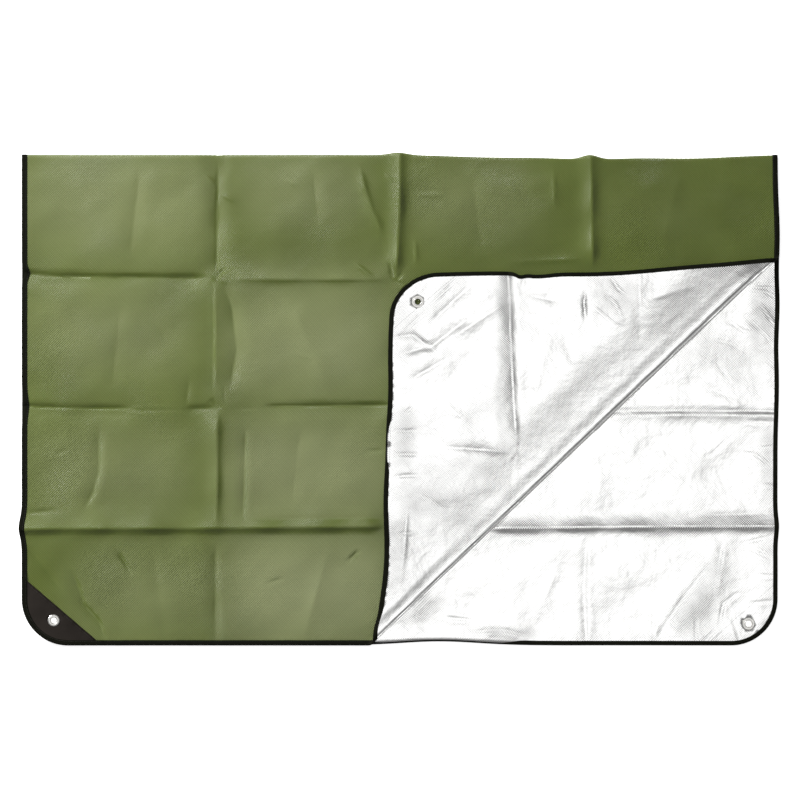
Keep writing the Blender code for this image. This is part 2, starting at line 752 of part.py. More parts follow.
def make_tape(edge, inside, material, parent):
    """The tape: a channel round the cloth's whole edge, closed on itself."""
    place, out = lie(*edge.T), normal(*edge.T)
    inner_place, inner_out = lie(*inside.T), normal(*inside.T)
    outward = place - inner_place
    outward = outward / np.linalg.norm(outward, axis=1, keepdims=True)
    lip = (tape_lip(edge) * TAPE_WIDTH / TAPE_INSET)[:, None]
    back = TAPE_WIDTH / TAPE_INSET
    lip_place, lip_out = mix(place, inner_place, lip), mix(out, inner_out, lip)
    back_place, back_out = mix(place, inner_place, back), mix(out, inner_out, back)
    near = CLOTH / 2 + GAP
    far = near + TAPE_THICK
    extra = (patch_under(edge) * (PATCH_THICK + GAP))[:, None]
    brow = outward * GAP
    nose = outward * (GAP + TAPE_THICK)
    section = [
        lip_place + near * lip_out,
        lip_place + far * lip_out,
        place + 0.5 * nose + far * out,
        place + nose + 0.5 * near * out,
        place + nose - (0.5 * near + extra) * out,
        place + 0.5 * nose - (far + extra) * out,
        back_place - (far + extra) * back_out,
        back_place - (near + extra) * back_out,
        place + brow - (near + extra) * out,
        place + brow + near * out,
    ]
    count, points = len(section), len(edge)
    vertices = np.stack(section, axis=1).reshape(-1, 3)
    faces = []
    for n in range(points):
        m = (n + 1) % points
        for k in range(count):
            j = (k + 1) % count
            a, b, c, d = n * count + k, n * count + j, m * count + j, m * count + k
            if k in FALLING_WALLS:
                faces += [[a, b, c], [a, c, d]]
            elif k in RISING_WALLS:
                faces += [[a, b, d], [b, c, d]]
            else:
                faces.append([a, b, c, d])
    return solid_object("edge_tape", vertices, faces, [material], parent)


def make_patch(corner, material, parent):
    """A corner patch on the cloth's green side, its outer edge tucked under the tape."""
    inward = corner_inward(corner)
    centre = corner_point(corner) + inward * CORNER_RADIUS
    radius = CORNER_RADIUS - PATCH_TUCK
    arc = []
    for step in range(2 * ARC_STEPS + 1):
        angle = math.pi / 2 * step / (2 * ARC_STEPS)
        arc.append(centre - inward * radius * np.array([math.sin(angle), math.cos(angle)]))
    shrink = 1 - PATCH_TUCK / corner.reach_t
    reach_end = corner_point(corner) + inward * np.array([corner.reach_s * shrink, PATCH_TUCK])
    shrink = 1 - PATCH_TUCK / corner.reach_s
    reach_side = corner_point(corner) + inward * np.array([PATCH_TUCK, corner.reach_t * shrink])
    flat = FlatMesh()
    flat.loop([reach_end, *arc, reach_side])
    flat.loop(circle(eyelet_place(corner), CLOTH_HOLE, HOLE_STEPS))
    eyelet = eyelet_place(corner)
    points, faces = flat.triangles(lambda p: math.hypot(*(p - eyelet)) > CLOTH_HOLE)
    high = -CLOTH / 2 - GAP
    vertices, solid = plate(points, faces, high - PATCH_THICK, high)
    return solid_object(f"patch_{corner.name}", vertices, solid, [material], parent)


def eyelet_profiles():
    """Outlines of the eyelet and of its washer: (radius, height), with heights towards the patch."""
    seat = CLOTH / 2 + GAP + PATCH_THICK + GAP
    crest = BACK_CORNER
    barrel = EYELET_BORE + BARREL_WALL
    washer_top = -CLOTH / 2 - GAP
    washer_low = washer_top - WASHER_THICK
    lip = washer_low - GAP
    lip_top = lip - LIP_HEIGHT
    eyelet = [
        (EYELET_BORE, lip - LIP_THROAT),
        (EYELET_BORE + LIP_HEIGHT, lip_top),
        (barrel + LIP_FLAT, lip_top),
        (barrel + LIP_REACH, lip),
        (barrel, lip),
        (barrel, seat),
        (EYELET_RADIUS, seat),
        (EYELET_RADIUS, seat + EYELET_RIM),
        (CROWN_TO, crest),
        (CROWN_FROM, crest),
        (EYELET_BORE, crest - THROAT_DROP),
    ]
    washer = [
        (barrel + GAP, washer_low),
        (EYELET_RADIUS - WASHER_BEVEL, washer_low),
        (EYELET_RADIUS, washer_top - WASHER_EDGE),
        (EYELET_RADIUS, washer_top),
        (barrel + GAP, washer_top),
    ]
    return eyelet, washer


def make_eyelet(corner, material, parent):
    """The eyelet through a corner and the washer behind it. Both point to the green side."""
    place = eyelet_place(corner)[None, :]
    centre = lie(*place.T)[0]
    green_is_down = normal(*place.T)[0][2] > 0
    eyelet, washer = eyelet_profiles()
    for name, profile in ((f"eyelet_{corner.name}", eyelet), (f"washer_{corner.name}", washer)):
        vertices, faces = ring(profile, RING_STEPS)
        body = solid_object(name, vertices, faces, [material], parent)
        body.location = centre
        body.rotation_euler = (math.pi if green_is_down else 0, 0, 0)
        body.data.shade_smooth()
        body.data.set_sharp_from_angle(angle=math.radians(35))


def main():
    clear_scene()
    tarp = bpy.data.objects.new("rescue_tarp", None)
    bpy.context.scene.collection.objects.link(tarp)
    green = finish_material("green_coating", GREEN)
    silver = finish_material("silver_film", SILVER)
    tape = finish_material("tape", TAPE)
    patch = finish_material("patch", PATCH)
    metal = finish_material("eyelet_metal", METAL)
    edge, inside = border()
    make_cloth(edge, inside, [silver, green], tarp)
    make_tape(edge, inside, tape, tarp)
    for corner in CORNERS:
        make_patch(corner, patch, tarp)
        make_eyelet(corner, metal, tarp)


main()
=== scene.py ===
import math
from collections import namedtuple

import bpy
import numpy as np
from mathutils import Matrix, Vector
from mathutils.geometry import delaunay_2d_cdt
from mathutils.kdtree import KDTree


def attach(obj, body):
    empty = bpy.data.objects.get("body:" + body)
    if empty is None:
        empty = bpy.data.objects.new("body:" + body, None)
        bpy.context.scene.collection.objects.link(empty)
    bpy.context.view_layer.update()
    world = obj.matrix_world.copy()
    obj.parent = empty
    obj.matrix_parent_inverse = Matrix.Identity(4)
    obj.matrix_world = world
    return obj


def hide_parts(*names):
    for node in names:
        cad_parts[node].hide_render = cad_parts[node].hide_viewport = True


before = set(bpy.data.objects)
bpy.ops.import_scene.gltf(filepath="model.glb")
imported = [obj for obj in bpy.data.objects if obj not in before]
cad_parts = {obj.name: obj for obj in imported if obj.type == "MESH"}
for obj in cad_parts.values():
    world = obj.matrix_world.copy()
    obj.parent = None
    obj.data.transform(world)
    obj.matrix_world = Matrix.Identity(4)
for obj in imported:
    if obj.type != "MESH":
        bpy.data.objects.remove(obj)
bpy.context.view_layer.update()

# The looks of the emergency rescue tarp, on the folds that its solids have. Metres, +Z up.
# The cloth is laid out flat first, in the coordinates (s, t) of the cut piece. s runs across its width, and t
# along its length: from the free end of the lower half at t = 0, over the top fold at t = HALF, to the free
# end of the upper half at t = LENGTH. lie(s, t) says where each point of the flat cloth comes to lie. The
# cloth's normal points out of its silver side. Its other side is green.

MM = 0.001

# Cloth: a coated woven sheet, cut at 5 ft x 6.5 ft, silver on one side and green on the other
WIDTH = 1.524
LENGTH = 1.981
CLOTH = 1.2 * MM
CORNER_RADIUS = 93 * MM
GAP = 0.3 * MM

# Top fold, where the upper half leaves the lower half
TOP_RADIUS = 2.6 * MM
HALF = LENGTH / 2
DEPTH = HALF - (math.pi / 2 - 1) * TOP_RADIUS
TOP_EASE = 60 * MM

# Turned back corner: the line that it is folded along, the roll there, and where its corner lands
FOLD_FROM = np.array([-0.0600, -DEPTH / 2])
FOLD_TO = np.array([WIDTH / 2, 0.289])
ROLL_FROM = 7 * MM
ROLL_TO = 13 * MM
ROLL_END = 5 * MM
ROLL_PINCH = 0.10
FLAP_CORNER = np.array([-0.0160, 0.2530])
FLAP_SETTLE = 0.13

# The shift that puts the origin under the middle of the whole tarp
CENTRING = np.array([0.9, -2.3]) * MM

# Edge tape, patches and eyelets
TAPE_WIDTH = 10 * MM
TAPE_THICK = 0.6 * MM
TAPE_INSET = TAPE_WIDTH + 1 * MM
SILVER_LIP = 0.84
PATCH_THICK = 0.8 * MM
PATCH_TUCK = 2 * MM
PATCH_EASE = 4 * MM
EYELET_BORE = 6.0 * MM
EYELET_RADIUS = 12.0 * MM
CLOTH_HOLE = 8.2 * MM

# Heights of the cloth's middle above the floor
BACK_FLOOR = CLOTH / 2
BACK_EDGE = CLOTH / 2 + GAP + TAPE_THICK
BACK_CORNER = 3.5 * MM
FRONT_BASE = 7.6 * MM
FRONT_CORNER = 8.8 * MM
FRONT_NEAR_ROLL = 1.2 * MM
NEAR_ROLL_FROM = 30 * MM
NEAR_ROLL_EASE = 90 * MM
FLAP_ABOVE_FRONT = 4.0 * MM
CARRIED = 0.5
FOLD_DROP = 3.1 * MM
FOLD_DROP_WIDTH = 27 * MM
FLAP_CORNER_HEIGHT = 12.6 * MM
EDGE_EASE = 35 * MM
CORNER_FLAT = 0.165
CORNER_EASE = 0.075
BACK_CORNER_LOWEST = 2.2 * MM

# Places of the eyelets on each layer, and how far round them the cloth has no creases
BACK_EYELETS = [(-0.698, -0.4445), (0.704, -0.4515)]
FRONT_EYELETS = [(-0.698, -0.4445)]
FLAP_EYELETS = [(0.0365, 0.1983)]
EYELET_FLAT = 17 * MM
EYELET_EASE = 26 * MM

# Mesh sizes of the cloth: lattice steps near creases, where it shows, and where it is covered
FINE = 4.6 * MM
VISIBLE = 2 * FINE
COVERED = 4 * FINE
FINE_REACH = 8.0 * MM
LINE_STEP = 4.8 * MM
FLANK_STEP = 3.6 * MM
COVERED_MARGIN = 30 * MM
CLEAR = 0.58
ROLL_LINES = 12
ROLL_OVERRUN = 50 * MM
DROP_LINES = 5
TOP_LINES = 6
HOLE_STEPS = 48
RING_STEPS = 48
SHARP_ANGLE = 50
ARC_STEPS = 24
STATION_LENGTH = 6 * MM
STATION_TURN = 0.16
BORDER_STEP = 0.8 * MM
PATCH_STEP = 6 * MM

ROUNDING = 1e-9
MERGE = 1e-7
NORMAL_STEP = 0.4 * MM
ROUNDS = 20

# Creases left by packing the tarp, and the smaller wrinkles between them. Each is a line of points on its own
# layer.
# rise is the height of the ridge (+) or the trough (-), width how far its left flank runs, seen along the
# line, and right how far its right flank does, or 0 where it is the same. shoulder is the height of a broad
# swell under it.
# power says how sharply the flanks meet. Lengths are in millimetres.
Crease = namedtuple("Crease", "points rise width right shoulder power", defaults=(0, 0, 2))


def creases(rows):
    """Rows of a line's (x, y, x, y, ...), its rise and so on, as creases with their points in metres."""
    return [Crease(np.reshape(line, (-1, 2)) / 1000, *rest) for line, *rest in rows]


FRONT_CREASES = creases([
    ((-804, 260, -683, 250, -376, 247), -5.0, 13, 50),
    ((-756, 245, -572, 243), 0.7, 3, 5),
    ((-348, 244, -199, 243, -13, 244), 3.0, 40, 14),
    ((-804, -8, -683, -16, -528, -17), -4.2, 12, 44),
    ((-764, -17, -522, -21), 1.2, 3, 11),
    ((-572, -21, -417, -20), -1.0, 5, 4),
    ((-445, -16, -362, -16), -3.4, 10, 30),
    ((-348, -17, -263, -17), -0.9, 5, 4),
    ((-284, -13, -1, -10), -4.4, 12, 40),
    ((-276, -16, -1, -13), 1.3, 3, 15),
    ((-804, -262, -683, -260, -401, -259, -25, -255), 7.2, 60, 19),
    ((-310, -241, -7, -238), -1.2, 14, 14),
    ((-366, 524, -371, 245), -5.0, 44, 44),
    ((-367, 524, -371, 249), -0.9, 6, 4),
    ((-376, 253, -376, 140, -377, 3), -1.4, 5, 16, 0, 1.4),
    ((-374, 251, -371, 140, -370, 15), 2.2, 34, 30),
    ((-362, 249, -338, 183, -330, 100, -344, 11), -2.8, 40, 28),
    ((-356, 39, -353, -13), -1.4, 5, 5),
    ((-368, -13, -368, -142, -369, -263), 4.4, 20, 50),
    ((-372, -280, -372, -506), -2.4, 20, 22),
    ((1, 524, 0, 383, -7, 243), 6.0, 22, 34),
    ((386, 524, 388, 403, 390, 261), 5.8, 24, 36),
    ((310, 504, 314, 372), 1.5, 12, 14),
    ((-397, 261, -374, 246, -391, 237), 1.8, 6, 6),
    ((-374, 245, -350, 267), -2.4, 7, 6),
    ((-374, 245, -346, 235), 1.8, 6, 7),
    ((-387, -9, -378, -1, -366, -13, -354, -23), -2.8, 6, 6),
    ((-23, 284, -17, 261, -11, 231), -2.6, 7, 7),
    ((11, 263, -9, 239, 9, 231), -2.2, 6, 6),
    ((-19, 249, 13, 239), 1.8, 6, 6),
    ((-86, 490, -70, 427, -56, 385, -41, 354, -33, 326), 3.2, 13, 18, 0, 1.7),
    ((-96, 280, -49, 243), 2.2, 9, 10),
    ((-366, 419, -326, 397), 1.7, 8, 8),
    ((-397, 455, -366, 431), 1.5, 8, 8),
    ((-33, 459, -11, 437), 1.6, 7, 7),
    ((30, 330, 35, 272), 2.4, 10, 8),
    ((23, 414, 98, 413), 1.2, 9, 9),
    ((-607, -47, -607, -144, -619, -187, -641, -227), -2.4, 14, 30),
    ((-760, -228, -679, -223), -1.8, 9, 5),
    ((-576, -298, -554, -328, -536, -360), -2.8, 6, 13),
    ((-663, -336, -637, -413, -605, -449, -590, -498), -3.4, 8, 26, 0, 1.7),
    ((-425, 51, -431, -21), -1.8, 12, 20),
    ((-76, -104, -25, -101), -1.6, 7, 5),
    ((-108, -330, -78, -300), -2.0, 9, 6),
    ((-310, -45, -316, -257), -2.4, 10, 28),
    ((-760, -284, -675, -393), -2.6, 20, 26),
    ((211, 278, 383, 284), 1.6, 14, 10),
    ((-522, 487, -546, 278), -1.4, 30, 26),
    ((-179, 494, -162, 332), -1.5, 30, 26),
    ((-219, 201, -138, 9), 1.4, 40, 32),
    ((-199, -41, -219, -223), -1.4, 36, 30),
    ((-562, 201, -582, 9), -1.2, 30, 34),
    ((-138, -284, -199, -496), 1.4, 34, 30),
    ((-502, -284, -471, -496), -1.2, 26, 30),
    ((144, 473, 165, 292), -1.2, 34, 34),
    ((568, 473, 528, 302), 1.1, 34, 34),
    ((-243, 451, -199, 427), 1.0, 8, 8),
    ((-683, 393, -635, 364), 1.0, 9, 9),
    ((-498, 156, -465, 114), -1.1, 8, 7),
    ((-219, 96, -167, 80), 1.1, 8, 7),
    ((-699, -112, -663, -96), -1.1, 7, 8),
    ((-481, -142, -445, -179), 1.1, 8, 8),
    ((-276, -374, -231, -358), -1.2, 8, 7),
    ((500, 403, 536, 370), 1.0, 9, 8),
    ((215, 443, 245, 411), 0.9, 8, 8),
])
FLAP_CREASES = creases([
    ((219, 302, 219, 241, 222, 195, 223, 138, 227, 56, 230, -7, 237, -94), -4.2, 15, 24, 2.2, 1.7),
    ((236, -78, 236, -136, 232, -209), -1.2, 9, 8),
    ((237, -96, 217, -130), -1.8, 7, 6),
    ((242, -74, 240, -114), 1.3, 7, 5),
    ((484, 292, 484, 96), 1.6, 34, 22),
    ((374, 237, 372, 201, 376, 152), -2.0, 6, 9),
    ((421, 269, 439, 235, 463, 209), -1.5, 13, 13),
    ((407, 229, 436, 199, 446, 175, 459, 148), -1.2, 8, 16),
    ((378, 203, 407, 177, 431, 156, 463, 140), 0.9, 7, 12),
    ((72, -94, 165, -100, 241, -108), -2.4, 22, 16, 0.6),
    ((-25, -108, 43, -111), -1.5, 8, 7),
    ((-25, -62, 39, -62), -1.1, 8, 7),
    ((-25, -154, 43, -152), -1.2, 9, 8),
    ((-25, -269, 31, -269), -1.1, 9, 8),
    ((-37, -213, 104, -199, 235, -158), -1.0, 52, 44),
    ((23, -183, 104, -227), 1.3, 16, 18),
    ((11, -203, -3, -294, -15, -389), -1.6, 10, 20),
    ((-11, 90, 64, 108, 144, 169), -2.0, 22, 13),
    ((11, 35, 116, 96), -1.5, 18, 12),
    ((104, 124, 225, 205), 1.8, 22, 20),
    ((53, 148, 152, 241), -1.8, 16, 20),
    ((-27, 126, 27, 132, 84, 88), -1.9, 12, 15),
    ((241, 221, 338, 197), -1.1, 26, 18),
    ((296, 110, 261, -41), 0.8, 28, 26),
    ((84, -1, 144, -51), 0.9, 18, 18),
    ((487, 201, 609, 237), -1.1, 18, 14),
    ((518, 140, 588, 201), -1.4, 12, 12),
    ((326, 140, 356, 56), -0.8, 18, 16),
    ((3, -23, 27, -17), -1.2, 6, 5),
    ((23, -324, 64, -294), -1.2, 9, 9),
    ((-21, -413, 7, -385), -1.2, 8, 8),
    ((122, 251, 1, 130), -0.9, 4, 4),
])
BACK_CREASES = creases([
    ((403, -24, 588, -21, 790, -24), -3.0, 16, 12, 2.4),
    ((447, -29, 790, -30), 1.1, 8, 20),
    ((689, -43, 770, -45), -2.2, 15, 8, 2.2),
    ((160, -259, 487, -256, 790, -255), 4.6, 30, 17),
    ((588, -233, 770, -229), -1.6, 16, 14, 1.6),
    ((378, -269, 374, -364, 377, -510), -2.6, 9, 20, 2.0),
    ((653, -269, 647, -324, 631, -409), -2.6, 7, 24, 2.4, 1.6),
    ((637, -316, 568, -405, 504, -502), -2.4, 26, 12, 2.2, 1.6),
    ((512, -401, 512, -502), -2.0, 7, 5, 1.6),
    ((596, -425, 599, -502), -2.0, 7, 5, 1.6),
    ((701, -376, 653, -411, 643, -465), -2.2, 7, 9, 1.8),
    ((667, -429, 689, -498), -1.9, 6, 7, 1.6),
    ((643, -461, 605, -492), -1.8, 6, 6, 1.4),
    ((697, -296, 758, -324), -1.6, 7, 6, 1.3),
    ((681, -292, 762, -272), -1.6, 7, 6, 1.3),
    ((718, -353, 770, -355), -1.6, 7, 5, 1.3),
    ((693, -413, 766, -403), -1.7, 8, 6, 1.4),
    ((395, -94, 395, -167), -0.9, 6, 6, 0.8),
    ((679, -104, 716, -109, 760, -140), -2.0, 8, 7, 1.6),
    ((681, -64, 631, -108, 594, -120), -1.5, 8, 9, 1.3),
    ((722, -98, 766, -92), -1.7, 7, 5, 1.3),
    ((726, -171, 770, -175), -1.8, 7, 5, 1.4),
    ((699, 232, 760, 234), -2.4, 8, 6, 1.8),
    ((693, 225, 734, 219, 768, 201), -2.6, 8, 8, 2.0),
    ((714, 209, 756, 148, 764, 100), 2.4, 13, 14),
    ((685, 183, 738, 132, 758, 96), -2.4, 12, 15, 1.8),
    ((653, 167, 693, 140, 730, 134), -1.7, 9, 10, 1.4),
    ((617, 126, 665, 116, 706, 92), -1.7, 9, 10, 1.4),
    ((601, 100, 641, 76, 665, 37), -1.4, 9, 9, 1.2),
    ((730, 90, 766, 56), -1.6, 9, 8, 1.4),
    ((80, -374, 31, -417, 3, -443), -3.0, 9, 8, 2.4, 1.5),
    ((29, -419, 37, -457), -1.6, 6, 6, 1.3),
    ((80, -439, 156, -447), -2.2, 9, 8, 1.8),
    ((136, -473, 205, -465, 274, -479), -2.2, 14, 8, 1.8),
    ((-37, -477, 3, -449, 23, -469), -1.6, 7, 7, 1.3),
    ((487, -82, 609, -203), 1.0, 40, 34),
    ((326, -324, 265, -465), 1.0, 30, 30),
    ((447, -294, 487, -405), -1.3, 24, 24, 1.0),
    ((588, 39, 689, -1), -1.4, 18, 18, 1.2),
])

# Areas of the silver side where the film has come loose over the weave: centre, half length and half width in
# millimetres, the degrees that its length is turned from +x, and how much of the weave shows
Slack = namedtuple("Slack", "x y long wide turn share")


def areas(rows):
    """These rows with their places and sizes in metres."""
    return [Slack(*(size / 1000 for size in row[:4]), *row[4:]) for row in rows]


FLAP_SLACK = areas([
    (609, 227, 182, 40, 43, 1.0),
    (296, -37, 353, 34, 43, 0.65),
    (114, -203, 125, 69, 0, 0.75),
    (-5, -294, 20, 77, 0, 0.9),
    (76, 201, 85, 22, 45, 0.45),
    (7, 130, 24, 81, 0, 0.4),
    (212, 100, 18, 230, 0, 1.0),
    (439, 205, 57, 61, 0, 0.55),
    (3, -92, 32, 91, 0, 0.5),
])
BACK_SLACK = areas([
    (649, -251, 242, 24, 0, 1.0),
    (346, -255, 202, 18, 0, 0.7),
    (625, -389, 125, 36, 58, 0.7),
    (209, -473, 73, 16, 0, 0.8),
    (35, -421, 61, 32, 30, 0.6),
    (734, 181, 30, 89, 0, 1.0),
    (669, 80, 97, 48, -32, 0.6),
    (748, -132, 22, 105, 0, 0.6),
    (609, -27, 202, 14, 0, 0.6),
    (746, -324, 24, 81, 0, 0.4),
    (487, -485, 242, 16, 0, 0.35),
])
# Areas of the green side painted greyer and lighter, a painted sheen that stands in for the reflection of a
# broad soft light, and how strong it is
FRONT_PAINTED_SHEEN = areas([
    (-179, -385, 202, 151, 0, 1.0),
    (-179, -142, 192, 141, 0, 0.85),
    (-179, 120, 192, 151, 0, 0.76),
    (-562, 403, 222, 141, 0, 0.56),
    (-199, 423, 141, 101, 0, 0.5),
    (-582, 140, 182, 121, 0, 0.5),
    (-582, -142, 182, 121, 0, 0.44),
    (-502, -385, 161, 121, 0, 0.45),
    (144, 403, 141, 91, 0, 0.4),
    (487, 383, 121, 61, 0, 0.08),
])
CREASE_FADE = 45 * MM
FADE_SHARE = 0.4
SHOULDER_REACH = 3
UNEVEN = 0.20
UNEVEN_LENGTH = 0.115

# Broad, slight unevenness of every layer: wavelengths across and along (m), phase, and height (mm)
Swell = namedtuple("Swell", "wave_x wave_y phase height")
SWELLS = [
    Swell(0.310, 0.270, 0.4, 0.9),
    Swell(-0.170, 0.230, 1.9, 0.7),
    Swell(0.115, 0.400, 3.1, 0.5),
    Swell(0.260, -0.097, 5.0, 0.45),
    Swell(-0.083, 0.071, 2.2, 0.16),
]

# Places where the outline is pulled out of line: the pull (dx, dy) at the point (x, y), and its reach each
# way. The points are in metres, and the rest in millimetres.
Pull = namedtuple("Pull", "x y dx dy reach_x reach_y")
EVERY_LAYER_PULLS = [
    Pull(-0.003, DEPTH / 2, 0, 5, 26, 60),
    Pull(0.384, DEPTH / 2, 0, 9, 22, 60),
    Pull(0.200, DEPTH / 2, 0, -5, 120, 60),
    Pull(0.385, DEPTH / 2, 0, -8, 100, 60),
    Pull(0.580, DEPTH / 2, 0, -7, 120, 60),
    Pull(WIDTH / 2, 0.330, 4, 0, 60, 80),
]
FRONT_PULLS = [
    Pull(-WIDTH / 2, 0.256, 6, 0, 40, 12),
    Pull(-WIDTH / 2, -0.012, 4, 0, 40, 24),
    Pull(-WIDTH / 2, -0.258, -6, 0, 60, 26),
]
FLAP_PULLS = [
    Pull(0.243, 0.262, 0, -5, 10, 26),
    Pull(0.276, 0.268, 0, -6, 36, 40),
    Pull(0.410, 0.270, 0, -11, 165, 70),
    Pull(-0.020, 0.000, 6, 0, 40, 80),
    Pull(-0.030, -0.125, 5, 0, 70, 70),
    Pull(-0.025, -0.330, 16, 0, 70, 130),
]
BACK_PULLS = [
    Pull(WIDTH / 2, -0.256, 3, 0, 50, 26),
    Pull(WIDTH / 2, 0.190, 4, 0, 60, 60),
    Pull(WIDTH / 2, 0.030, 3, 0, 60, 80),
    Pull(0.080, -DEPTH / 2, 0, 8, 110, 40),
]
PULL_FADE = 35 * MM

# Stretches where the tape hardly shows on the silver side, along the lower and the upper free end
Slip = namedtuple("Slip", "t s_from s_to")
TAPE_SLIPS = [Slip(0, -0.080, 0.250), Slip(LENGTH, 0.320, 0.450)]
SLIP_LIP = 0.12
SLIP_EASE = 0.050

# The four corners: side and end of the cloth, the patch's reach along the end (s) and along the side (t),
# and the eyelet's distance from the side and from the end
Corner = namedtuple("Corner", "name side end reach_s reach_t eyelet_s eyelet_t")
CORNERS = [
    Corner("lower_left", -1, 0, 0.156, 0.138, 0.064, 0.050),
    Corner("lower_right", 1, 0, 0.150, 0.134, 0.058, 0.043),
    Corner("turned_back", 1, 1, 0.134, 0.142, 0.062, 0.055),
    Corner("upper_left", -1, 1, 0.162, 0.139, 0.064, 0.050),
]


def ease(value):
    """0 below 0, 1 above 1, and a smooth step between."""
    value = np.clip(value, 0, 1)
    return value * value * (3 - 2 * value)


def mix(a, b, share):
    return a + (b - a) * share


def unit(vectors):
    return vectors / np.linalg.norm(vectors, axis=-1, keepdims=True)


def spoke(degrees):
    return np.array([math.cos(math.radians(degrees)), math.sin(math.radians(degrees))])


def left_of(start, end, x, y):
    """How far places are to the left of the line from start to end."""
    dx, dy = end[0] - start[0], end[1] - start[1]
    return (dx * (y - start[1]) - dy * (x - start[0])) / math.hypot(dx, dy)


def run_along(line):
    """How far along a line of points each of its points is."""
    return np.concatenate([[0], np.cumsum(np.linalg.norm(np.diff(line, axis=0), axis=1))])


def points_at(line, places):
    """The points this far along a line of points."""
    return np.stack([np.interp(places, run_along(line), line[:, axis]) for axis in (0, 1)], axis=1)


def closed(values):
    """The values round a loop, with the first again at its end."""
    return np.concatenate([values, values[:1]])


def loop_edges(count, start=0):
    return [(start + n, start + (n + 1) % count) for n in range(count)]


# The fold line of the turned back corner and its frame

FOLD_LENGTH = float(np.linalg.norm(FOLD_TO - FOLD_FROM))
ALONG = (FOLD_TO - FOLD_FROM) / FOLD_LENGTH
OUTWARD = np.array([ALONG[1], -ALONG[0]])
ROLL_TAKES = math.pi / 2 - 1


def fold_frame(x, y):
    """How far along the fold line a point is, and how far past it, towards the corner."""
    dx, dy = x - FOLD_FROM[0], y - FOLD_FROM[1]
    return dx * ALONG[0] + dy * ALONG[1], dx * OUTWARD[0] + dy * OUTWARD[1]


def from_fold(along, past):
    """The x and the y of what is this far along the fold line and past it."""
    return [FOLD_FROM[axis] + along * ALONG[axis] + past * OUTWARD[axis] for axis in (0, 1)]


def roll_radius(along):
    grown = mix(ROLL_FROM, ROLL_TO, np.clip(along / FOLD_LENGTH, 0, 1))
    return mix(ROLL_END, grown, ease((FOLD_LENGTH - along) / ROLL_PINCH))


def flap_landing():
    """How far the turned back corner slides along the fold and how much it shortens, per metre inwards."""
    along, past = fold_frame(WIDTH / 2, -DEPTH / 2)
    landed_along, landed_past = fold_frame(*FLAP_CORNER)
    radius = roll_radius(along)
    inside = past - (2 * ROLL_TAKES + 1) * radius
    return (landed_along - along) / inside, (-landed_past - radius) / inside


SLIDE, SHORTEN = flap_landing()


# Heights of the three layers

def to_line(points, x, y):
    """How far places are from a line of points, if on its left, how far along it, and its length."""
    nearest = np.full(x.shape, np.inf)
    along = np.zeros(x.shape)
    left = np.zeros(x.shape, bool)
    start = 0.0
    for (x0, y0), (x1, y1) in zip(points[:-1], points[1:]):
        dx, dy = x1 - x0, y1 - y0
        length = math.hypot(dx, dy)
        share = np.clip(((x - x0) * dx + (y - y0) * dy) / length ** 2, 0, 1)
        off = np.hypot(x - x0 - share * dx, y - y0 - share * dy)
        along = np.where(off < nearest, start + share * length, along)
        left = np.where(off < nearest, dx * (y - y0) > dy * (x - x0), left)
        nearest = np.minimum(off, nearest)
        start += length
    return nearest, left, along, start


def creased(rows, x, y):
    """The height that these creases add at a point of their layer."""
    height = np.zeros(np.shape(x))
    for number, row in enumerate(rows):
        right = row.right or row.width
        reach = max(row.width, right) * MM * (SHOULDER_REACH if row.shoulder else 1)
        low, high = np.min(row.points, axis=0) - reach, np.max(row.points, axis=0) + reach
        near = (x > low[0]) & (x < high[0]) & (y > low[1]) & (y < high[1])
        if not near.any():
            continue
        off, left, along, length = to_line(row.points, x[near], y[near])
        off = off / (np.where(left, row.width, right) * MM)
        fade = min(CREASE_FADE, FADE_SHARE * length)
        ends = ease(along / fade) * ease((length - along) / fade)
        ends = ends * (1 + UNEVEN * np.sin(2 * math.pi * along / UNEVEN_LENGTH + number))
        flank = np.clip(1 - off, 0, None) ** row.power
        swell = np.clip(1 - off / SHOULDER_REACH, 0, None) ** 2
        height[near] += (row.rise * flank + row.shoulder * swell) * MM * ends
    return height


def swelled(x, y):
    """Slight broad unevenness, never below 0."""
    height = np.zeros(np.shape(x))
    for row in SWELLS:
        wave = np.sin(2 * math.pi * (x / row.wave_x + y / row.wave_y) + row.phase)
        height = height + 0.5 * (1 + wave) * row.height * MM
    return height


def near_corner(x, y, corner_x, corner_y):
    """1 in the flat zone that a corner patch needs, easing to 0 outside it."""
    return 1 - ease((np.hypot(x - corner_x, y - corner_y) - CORNER_FLAT) / CORNER_EASE)


def away(x, y, eyelets):
    """0 round the eyelets, easing to 1 away from them."""
    share = np.ones(np.shape(x))
    for place in eyelets:
        share = share * ease((np.hypot(x - place[0], y - place[1]) - EYELET_FLAT) / EYELET_EASE)
    return share


def back_height(x, y):
    """The lower half. It is flat on the floor but for its creases, its taped edges and its corners."""
    to_edge = np.minimum(WIDTH / 2 - np.abs(x), y + DEPTH / 2)
    height = mix(BACK_EDGE, BACK_FLOOR, ease((to_edge - TAPE_INSET) / EDGE_EASE))
    lowest = np.full(np.shape(x), BACK_FLOOR)
    for side in (-1, 1):
        flat = near_corner(x, y, side * WIDTH / 2, -DEPTH / 2)
        height = mix(height, BACK_CORNER, flat)
        lowest = mix(lowest, BACK_CORNER_LOWEST, flat)
    height = height + creased(BACK_CREASES, x, y) * away(x, y, BACK_EYELETS)
    return np.maximum(height, lowest) + swelled(x, y)


